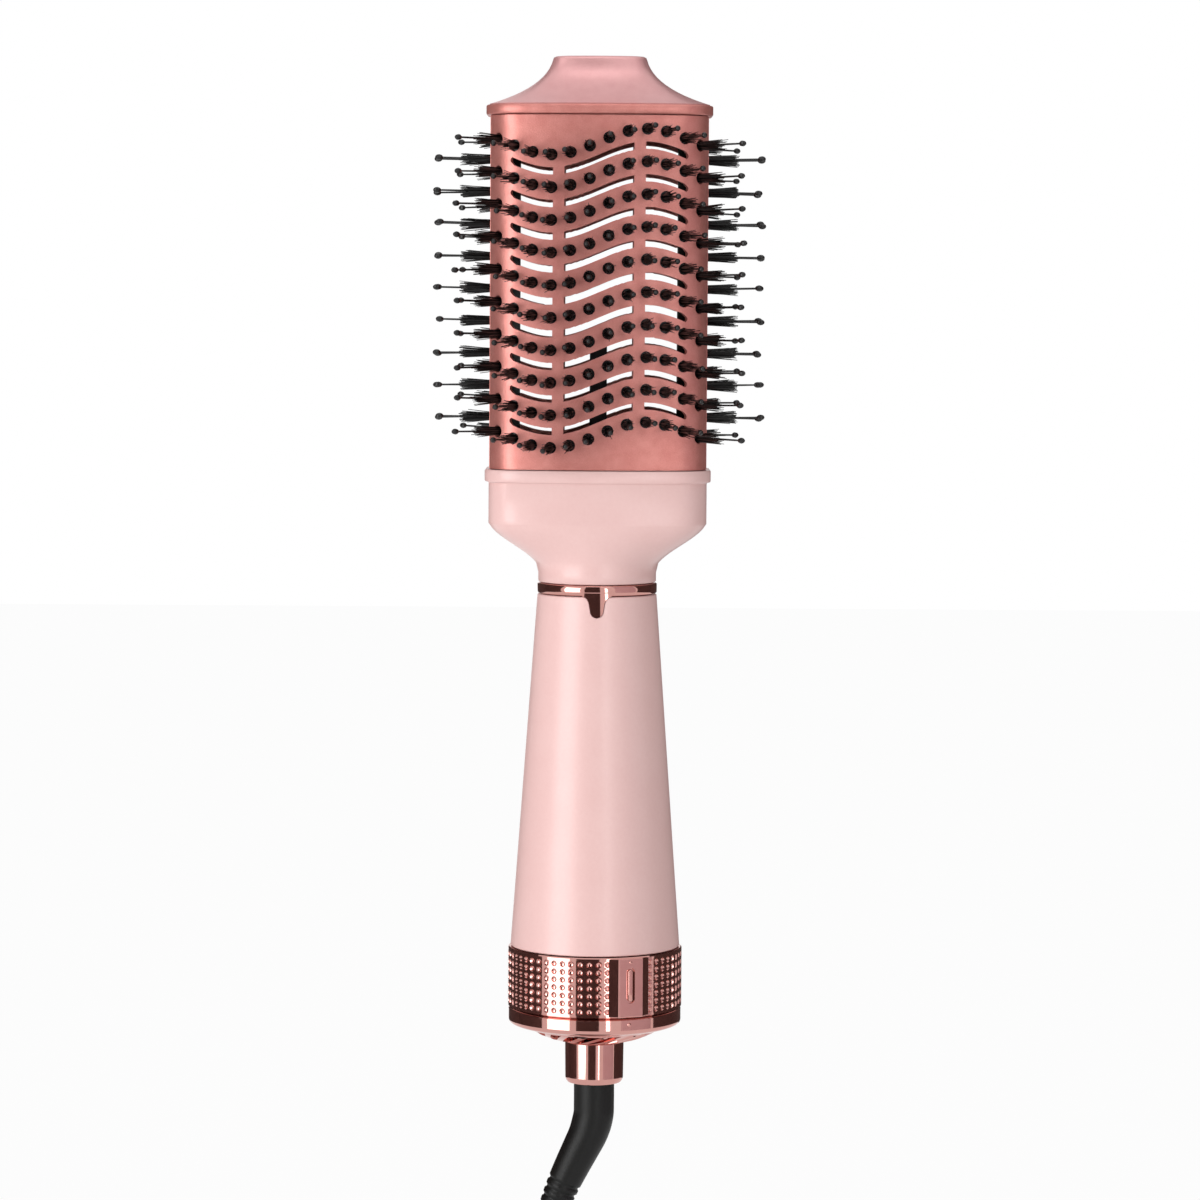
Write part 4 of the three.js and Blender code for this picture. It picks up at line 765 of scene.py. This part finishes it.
for k in range(1, CONE_STEPS + 1):
    t = k / CONE_STEPS
    eased = t * t * (3 - 2 * t) * 0.55 + 0.45 * t
    stations.append(blended(neck, shoulder, 0.98 * eased, cone_start + (CONE_TOP - cone_start) * t))
stations += [oval(BODY_INSET, z) for z in (CONE_TOP + 0.5, CONE_TOP + 2, LIP_FOOT - 0.4)]
stations += [oval(-0.5, LIP_FOOT - 0.1), oval(-1.2, LIP_FOOT), oval(LIP_INSET, LIP_FOOT + 0.4),
             oval(LIP_INSET, LIP_HEAD - 0.4), oval(-1.2, LIP_HEAD), oval(2.3, LIP_HEAD), oval(2.3, collar_end),
             oval(4.5, collar_end), oval(4.5, CONE_TOP), circle(COLLAR_BORE, CONE_FOOT)]
collar_shape = bmesh.new()
lofted(collar_shape, stations, closed=True)
shown("collar_moulding", collar_shape, pink_gloss, "pink_gloss", "root", "barrel_collar", sharp=45)

# ---- handle ---------------------------------------------------------------------------------
# Two glossy pale pink half shells, straight tapered, that meet along the sides. The front one
# has a shallow pocket for the trim ring's tongue.
grip_low, grip_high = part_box("handle_front_shell")
GRIP_FOOT, GRIP_HEAD = grip_low.z / MM, grip_high.z / MM
GRIP_RADIUS, GRIP_FLARE, GRIP_WALL = 19.5, 8.3, 2.2
SEAM_TURN = 0.15 / 24
TONGUE_DROP, TONGUE_SHOULDER, TONGUE_HALF = 6.6, 4.7, 2.3


def grip_radius(z):
    return GRIP_RADIUS + (GRIP_HEAD - z) / (GRIP_HEAD - GRIP_FOOT) * GRIP_FLARE


def tongue_outline(grow):
    """The tongue seen from the front, grown all round: curved shoulders, then a rounded tip."""
    tip, a, b = GRIP_HEAD - TONGUE_DROP - grow, TONGUE_SHOULDER + grow, TONGUE_HALF + grow
    curved = [(-a, GRIP_HEAD + 1.3), (-a, GRIP_HEAD + 0.2), (-a + 1.0, GRIP_HEAD - 0.15),
              (-b - 0.75, GRIP_HEAD - 0.75), (-b - 0.3, GRIP_HEAD - 1.6), (-b - 0.05, GRIP_HEAD - 2.7),
              (-b * 0.92, tip + b)]
    turns = (0.4, 0.8, 1.2, 1.57, 1.94, 2.34, 2.74)
    rounded_tip = [(-b * 0.92 * math.cos(t), tip + b - b * math.sin(t)) for t in turns]
    return curved + rounded_tip + [(-x, z) for x, z in reversed(curved)]


def standing_slab(shape, outline, y0, y1):
    """A shape drawn in X and Z, carried along Y."""
    face = shape.faces.new([shape.verts.new((x * MM, y0 * MM, z * MM)) for x, z in outline])
    grown = bmesh.ops.extrude_face_region(shape, geom=[face])["geom"]
    moved = [g for g in grown if isinstance(g, bmesh.types.BMVert)]
    bmesh.ops.translate(shape, vec=(0, (y1 - y0) * MM, 0), verts=moved)
    bmesh.ops.recalc_face_normals(shape, faces=shape.faces)


def carved(piece, fill, operation="DIFFERENCE"):
    """Cuts a piece with another shape, and keeps the result as its mesh."""
    tool = placed("tool", mesh_of("tool", fill))
    step = piece.modifiers.new("cut", "BOOLEAN")
    step.object, step.operation, step.solver = tool, operation, "EXACT"
    result = as_it_stands(piece)
    piece.modifiers.remove(step)
    piece.data = result
    bpy.data.objects.remove(tool)


def ends_filled(shape):
    bmesh.ops.holes_fill(shape, edges=[e for e in shape.edges if e.is_boundary], sides=0)


foot_radius, head_radius = grip_radius(GRIP_FOOT), grip_radius(GRIP_HEAD)
wall_line = [(foot_radius - GRIP_WALL, GRIP_FOOT), (foot_radius - 0.3, GRIP_FOOT),
             (foot_radius, GRIP_FOOT + 0.3)]
wall_line += [(grip_radius(z), z) for z in (GRIP_FOOT + 20, GRIP_FOOT + 60, GRIP_HEAD - 20, GRIP_HEAD - 8)]
wall_line += [(grip_radius(GRIP_HEAD - 0.3), GRIP_HEAD - 0.3), (head_radius - 0.3, GRIP_HEAD),
              (head_radius - GRIP_WALL, GRIP_HEAD), wall_line[0]]
for name, start in (("front", -math.pi / 2), ("rear", math.pi / 2)):
    half = bmesh.new()
    spun(half, wall_line, 48, sweep=math.pi - 2 * SEAM_TURN, start=start + SEAM_TURN)
    ends_filled(half)
    grip = shown(name + "_grip", half, pink_gloss, "pink_gloss", "root", f"handle_{name}_shell", sharp=40)
    if name == "front":
        pocket = bmesh.new()
        standing_slab(pocket, tongue_outline(0.25), -24, -18.6)
        carved(grip, pocket)

# ---- trim ring ------------------------------------------------------------------------------
# A bright rose gold plated ring between the collar and the handle, with a tongue that points
# down the middle of the front into the handle's pocket.
rose_chrome = surface("rose_chrome", "cb958d", "d09c94", 0.06, metal=1, grain=300, depth=0.004, spread=0.02)
TRIM_BORE, TRIM_RADIUS = 17.0, 19.6
trim_foot, trim_head = GRIP_HEAD + 0.3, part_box("trim_ring")[1].z / MM
trim_shape = bmesh.new()
spun(trim_shape, [(TRIM_BORE, trim_foot), (TRIM_RADIUS - 0.4, trim_foot), (TRIM_RADIUS, trim_foot + 0.35),
                  (TRIM_RADIUS, trim_head - 0.35), (TRIM_RADIUS - 0.4, trim_head), (TRIM_BORE, trim_head),
                  (TRIM_BORE, trim_foot)], 96)
shown("trim_band", trim_shape, rose_chrome, "rose_chrome", "root", "trim_ring", sharp=50)
tongue_foot = GRIP_HEAD - 8
tongue_radius = grip_radius(tongue_foot)
tongue = bmesh.new()
spun(tongue, [(tongue_radius - 0.9, tongue_foot), (tongue_radius + 0.12, tongue_foot),
              (TRIM_RADIUS, trim_foot + 1), (TRIM_RADIUS - 1, trim_foot + 1),
              (tongue_radius - 0.9, tongue_foot)], 40, sweep=0.9, start=-0.45)
ends_filled(tongue)
tongue_piece = shown("trim_tongue", tongue, rose_chrome, "rose_chrome", "root", sharp=40)
limit = bmesh.new()
standing_slab(limit, tongue_outline(0), -24, -15)
carved(tongue_piece, limit, "INTERSECT")

# ---- selector ring --------------------------------------------------------------------------
# A plated ring that turns to choose heat and speed. Its grip is seven rows of round dimples,
# broken by a smooth raised panel with the slot of its pointer.
ring_low, ring_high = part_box("selector_ring")
RING_FOOT, RING_HEAD = ring_low.z / MM, ring_high.z / MM
RING_RADIUS, RING_BORE, RING_CORNER = 28.6, 25.2, 0.35
PANEL_AT, PANEL_SPREAD = math.radians(23.5), math.radians(14)
DIMPLE_ROWS, DIMPLES, DIMPLE_PITCH, DIMPLES_FROM = 7, 60, 2.57, 0.9
DIMPLE_RADIUS, DIMPLE_STEPS = 1.02, ((0.3, -0.42), (0.25, -0.12))
ring_shape = bmesh.new()
ring_line = [(RING_RADIUS, RING_FOOT + DIMPLES_FROM + DIMPLE_PITCH * k) for k in range(DIMPLE_ROWS + 1)]
spun(ring_shape, ring_line, DIMPLES, start=PANEL_AT)
cells = list(ring_shape.faces)
for face in cells:
    face.normal_update()
    middle = face.calc_center_median()
    if face.normal.x * middle.x + face.normal.y * middle.y < 0:
        face.normal_flip()


def from_panel(face):
    """The turn between a face and the middle of the panel, in radians."""
    middle = face.calc_center_median()
    away = math.atan2(middle.x, -middle.y) - PANEL_AT
    return abs((away + math.pi) % (2 * math.pi) - math.pi)


for face in [f for f in cells if from_panel(f) > PANEL_SPREAD]:
    bmesh.ops.inset_individual(ring_shape, faces=[face], thickness=0.3 * MM)
    bmesh.ops.subdivide_edges(ring_shape, edges=list(face.edges), cuts=1)
    middle = face.calc_center_median()
    for vert in face.verts:
        vert.co = middle + (vert.co - middle).normalized() * (DIMPLE_RADIUS * MM)
    for inset, depth in DIMPLE_STEPS:
        bmesh.ops.inset_individual(ring_shape, faces=[face], thickness=inset * MM, depth=depth * MM)
ring_middle = (RING_FOOT + 10) * MM
open_top = [e for e in ring_shape.edges if e.is_boundary and e.verts[0].co.z > ring_middle]
open_foot = [e for e in ring_shape.edges if e.is_boundary and e.verts[0].co.z < ring_middle]


def carried(shape, edges, radius, z):
    """Extrudes a loop of edges to a new radius and height."""
    edges, fresh = extruded(shape, edges)
    for vert in fresh:
        flat = Vector((vert.co.x, vert.co.y, 0)).normalized() * radius * MM
        vert.co = Vector((flat.x, flat.y, z * MM))
    return edges


top, foot = open_top, open_foot
for radius, up in ((RING_RADIUS, RING_CORNER), (RING_RADIUS - RING_CORNER, 0), (RING_BORE, 0)):
    top = carried(ring_shape, top, radius, RING_HEAD - up)
    foot = carried(ring_shape, foot, radius, RING_FOOT + up)
bmesh.ops.bridge_loops(ring_shape, edges=top + foot)
shown("selector_grip", ring_shape, rose_chrome, "rose_chrome", "selector", "selector_ring", sharp=28)

# The panel's plan: a flat land with curved flanks, raised over the height of the ring.
LAND_HALF, PANEL_HALF, PANEL_BACK, PANEL_GAP = 4.0, 7.0, -26.4, 0.25
flank = [(LAND_HALF, -29.3), (4.3, -29.24), (4.6, -29.08), (5.3, -28.6), (6.0, -28.16), (6.6, -27.86),
         (PANEL_HALF, -27.7)]
plan = [(-x, y) for x, y in reversed(flank)] + flank + [(PANEL_HALF, PANEL_BACK), (-PANEL_HALF, PANEL_BACK)]
panel_foot, panel_rise = (RING_FOOT + PANEL_GAP) * MM, (RING_HEAD - RING_FOOT - 2 * PANEL_GAP) * MM
panel_shape = bmesh.new()
land = panel_shape.faces.new([panel_shape.verts.new((x * MM, y * MM, panel_foot)) for x, y in plan])
raised = bmesh.ops.extrude_face_region(panel_shape, geom=[land])["geom"]
bmesh.ops.translate(panel_shape, vec=(0, 0, panel_rise),
                    verts=[g for g in raised if isinstance(g, bmesh.types.BMVert)])
bmesh.ops.recalc_face_normals(panel_shape, faces=panel_shape.faces)
ends = [e for e in panel_shape.edges if abs(e.verts[0].co.z - e.verts[1].co.z) < 1e-6
        and all(v.co.y < -27.6 * MM for v in e.verts)]
rounded(panel_shape, ends, 0.35, 3)


def turned_to_panel(shape):
    bmesh.ops.rotate(shape, verts=shape.verts, matrix=Matrix.Rotation(PANEL_AT, 3, "Z"))


POINTER_Z, POINTER_HALF, POINTER_RADIUS = (RING_FOOT + RING_HEAD) / 2 + 0.8, 4.4, 1.5


def long_hole(radius):
    """An upright outline with straight sides and round ends, about the middle of the pointer."""
    steps = [math.pi * k / 8 for k in range(9)]
    upper = [(radius * math.cos(t), POINTER_Z + POINTER_HALF + radius * math.sin(t)) for t in steps]
    return upper + [(-x, 2 * POINTER_Z - z) for x, z in upper]


turned_to_panel(panel_shape)
panel = shown("selector_panel", panel_shape, rose_chrome, "rose_chrome", "selector", sharp=12)
pointer = bmesh.new()
standing_slab(pointer, long_hole(POINTER_RADIUS), -RING_RADIUS - 2, -RING_RADIUS + 1.1)
turned_to_panel(pointer)
carved(panel, pointer)
bar = bmesh.new()
standing_slab(bar, long_hole(POINTER_RADIUS - 0.65), -RING_RADIUS - 0.85, -RING_RADIUS + 1.2)
rounded(bar, [e for e in bar.edges if all(v.co.y < (-RING_RADIUS - 0.8) * MM for v in e.verts)], 0.3, 3)
turned_to_panel(bar)
shown("selector_pointer", bar, rose_chrome, "rose_chrome", "selector", sharp=40)


def stud(name, body, turned, radius, z, size):
    """A small plated dome that marks a setting."""
    made = bmesh.new()
    bmesh.ops.create_uvsphere(made, u_segments=16, v_segments=10, radius=size * MM)
    bmesh.ops.translate(made, verts=made.verts, vec=(0, -radius * MM, z * MM))
    bmesh.ops.rotate(made, verts=made.verts, matrix=Matrix.Rotation(turned, 3, "Z"))
    return shown(name, made, rose_chrome, "rose_chrome", body, sharp=60)


stud("selector_dot", "selector", PANEL_AT, RING_RADIUS + 0.5, RING_HEAD - 1.6, 0.55)

# ---- inlet cap ------------------------------------------------------------------------------
# The plated foot of the handle: a rounded rim, and a shallow dome whose curved vanes let the
# air in. It clips inside the handle and carries the selector.
inlet_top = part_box("inlet_cap")[1].z / MM
RIM_HEAD, RIM_FOOT, DOME_FOOT = -79.0, -83.0, -90.0
RIM_BORE, CLIP_RADIUS, RIM_RADIUS = 22.0, 24.0, 28.4
VANES, VANE_STEPS, VANES_FROM, VANE_RUN, VANE_SWIRL = 20, 6, 11.4, 10.4, 0.55
DOME_RADIUS, DOME_BORE, DOME_RISE, DOME_WALL = 23.6, 9.2, 5.2, 1.5
rim_shape = bmesh.new()
spun(rim_shape, [(RIM_BORE, inlet_top), (CLIP_RADIUS, inlet_top), (CLIP_RADIUS, RIM_HEAD), (27.9, RIM_HEAD),
                 (RIM_RADIUS, RIM_HEAD - 0.5), (RIM_RADIUS, RIM_HEAD - 0.8), (RIM_RADIUS, RIM_FOOT + 0.3),
                 (RIM_RADIUS, RIM_FOOT), (28.2, RIM_FOOT - 0.7), (27.6, RIM_FOOT - 1.2), (26.6, RIM_FOOT - 1.6),
                 (25.4, RIM_FOOT - 1.95), (24.0, RIM_FOOT - 2.1), (23.2, RIM_FOOT - 1.7),
                 (RIM_BORE, RIM_FOOT + 0.6), (RIM_BORE, inlet_top)], 96)
shown("inlet_rim", rim_shape, rose_chrome, "rose_chrome", "root", "inlet_cap", sharp=35)
stud("index_dot", "root", PANEL_AT, 28.1, -81.0, 0.75)
outlines = [ring_points(0, 0, DOME_RADIUS, 72), ring_points(0, 0, DOME_BORE, 32)]
for k in range(VANES):
    inner_side, outer_side = [], []
    for j in range(VANE_STEPS + 1):
        share = j / VANE_STEPS
        radius = VANES_FROM + VANE_RUN * share
        swirl = 2 * math.pi * k / VANES + VANE_SWIRL * share
        wide = 0.6 * (2 * math.pi / VANES) * (0.72 + 0.28 * share)
        inner_side.append((radius * math.cos(swirl), radius * math.sin(swirl)))
        outer_side.append((radius * math.cos(swirl + wide), radius * math.sin(swirl + wide)))
    outlines.append(inner_side + outer_side[::-1])
dome = punched_sheet(outlines)
for vert in dome.verts:
    away = math.hypot(vert.co.x, vert.co.y)
    share = min(max((away - 10.7) / 13.0, 0), 1)
    vert.co = Vector((vert.co.x, vert.co.y, DOME_FOOT + DOME_RISE * share ** 1.7)) * MM
bmesh.ops.recalc_face_normals(dome, faces=dome.faces)
face_out(dome, (0, 0, -1))
bmesh.ops.solidify(dome, geom=dome.faces[:], thickness=DOME_WALL * MM)
shown("inlet_vanes", dome, rose_chrome, "rose_chrome", "root", sharp=35)

# ---- swivel bush ----------------------------------------------------------------------------
# A turned metal bush under the dome, plated like the ring, in which the boot of the lead turns.
# It has a slight taper and a rounded foot, and is fixed in the middle of the dome.
bush_low, bush_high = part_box("swivel_bush")
BUSH_FOOT, BUSH_TOP = bush_low.z / MM, bush_high.z / MM
BUSH_HEIGHT, BUSH_BORE, NECK_OF_BUSH = 14, 7.05, 8.25
bush_line = [(8.3, 0), (8.9, 0.25), (9.3, 0.8), (9.5, 1.4), (9.56, 1.8), (9.57, 2.2), (9.69, 13.1), (9.7, 13.6),
             (9.4, BUSH_HEIGHT), (NECK_OF_BUSH, BUSH_HEIGHT)]
bush_shape = bmesh.new()
spun(bush_shape, [(BUSH_BORE, BUSH_FOOT)] + [(radius, BUSH_FOOT + up) for radius, up in bush_line]
     + [(NECK_OF_BUSH, BUSH_TOP), (BUSH_BORE, BUSH_TOP), (BUSH_BORE, BUSH_FOOT)], 72)
shown("bush_turning", bush_shape, rose_chrome, "rose_chrome", "root", "swivel_bush", sharp=30)

# ---- strain relief boot ---------------------------------------------------------------------
# A soft black boot moulded on the lead. It bends to the left under the lead's weight, and its
# lower half is ringed with grooves that let it flex.
BOOT_RADIUS, BOOT_TAPER, BOOT_STEPS, BOOT_VERTS = 6.65, 1.75, 120, 32
GROOVES_FROM, GROOVE_DEPTH = 0.78, 0.55
boot_points = [(0, -100.3), (0, -104.3), (0, -111.3), (-0.2, -115.8), (-1.7, -121.3), (-4.3, -126.8),
               (-7.1, -132.5), (-9.8, -138.3), (-12.2, -144.3), (-14.2, -150.3)]
boot_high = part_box("strain_relief_boot")[1].z / MM
line = [(0, boot_high), (0, -96)] + boot_points
spans = [0.0]
for (x0, z0), (x1, z1) in zip(line, line[1:]):
    spans.append(spans[-1] + math.hypot(x1 - x0, z1 - z0))


def on_boot(length):
    """The X and Z of the boot's middle line, smoothed, at a length along it."""
    k = max(i for i in range(len(spans) - 1) if spans[i] <= length + 1e-9)
    share = (length - spans[k]) / (spans[k + 1] - spans[k])
    before, after = line[max(k - 1, 0)], line[min(k + 2, len(line) - 1)]
    (x0, z0), (x1, z1) = line[k], line[k + 1]

    def smooth(a, b, c, d):
        return 0.5 * (2 * b + (c - a) * share + (2 * a - 5 * b + 4 * c - d) * share ** 2
                      + (3 * b - a - 3 * c + d) * share ** 3)

    return smooth(before[0], x0, x1, after[0]), smooth(before[1], z0, z1, after[1])


boot_rings = []
for number in range(BOOT_STEPS + 1):
    share = number / BOOT_STEPS
    length = spans[-1] * share
    x, z = on_boot(min(length, spans[-1] - 1e-6))
    ahead, behind = on_boot(min(length + 0.4, spans[-1] - 1e-6)), on_boot(max(length - 0.4, 0))
    along = Vector((ahead[0] - behind[0], 0, ahead[1] - behind[1])).normalized()
    across = Vector((-along.z, 0, along.x))
    radius = BOOT_RADIUS - BOOT_TAPER * max(share - 0.5, 0) / 0.5
    if share > GROOVES_FROM and number % 5 in (2, 3):
        radius -= GROOVE_DEPTH
    turns = [2 * math.pi * k / BOOT_VERTS for k in range(BOOT_VERTS)]
    boot_rings.append([Vector((x, 0, z)) + across * radius * math.cos(turned)
                       + Vector((0, radius * math.sin(turned), 0)) for turned in turns])
boot_shape = bmesh.new()
stacked(boot_shape, boot_rings)
shown("boot_moulding", boot_shape, black_rubber, "black_rubber", "cord_swivel", "strain_relief_boot", sharp=50)

# ---- works inside the handle and the head ---------------------------------------------------
# The heater, the fan, the boards and the swivel's contacts keep their built shapes. Each gets
# its own material: mica sheet, resistance wire, drawn steel, moulded nylon, circuit board.
mica_sheet = surface("mica_sheet", "b09c6c", "d2c294", 0.5, grain=260, depth=0.1, coat=0.2, spread=0.12)
resistance_wire = surface("resistance_wire", "6f6862", "968d84", 0.42, metal=1, grain=1800, depth=0.12)
circuit_board = surface("circuit_board", "225a31", "34774a", 0.4, grain=420, depth=0.1, spread=0.1)
white_moulding = surface("white_moulding", "dcd9d0", "ebe9e2", 0.42, grain=1300, depth=0.05)
inside = (
    (black_nylon, "inner_post inlet_filter motor_mount"),
    (bright_steel, "switch_wiper detent_spring motor_shaft motor_can thermostat"),
    (white_moulding, "temperature_sensor swivel_contact_block impeller ionizer_module thermal_fuse"),
    (circuit_board, "switch_contact_board control_board"),
    (mica_sheet, "heater_sleeve heater_board_wide heater_board_deep"),
    (resistance_wire, "heating_coil"),
)
for finish, names in inside:
    for name in names.split():
        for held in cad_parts[name].material_slots:
            held.material = finish

# The tufts that the rows and rails were planted from are no longer needed.
for data in tufts:
    bpy.data.meshes.remove(data)
bpy.context.scene.view_settings.view_transform = "Standard"
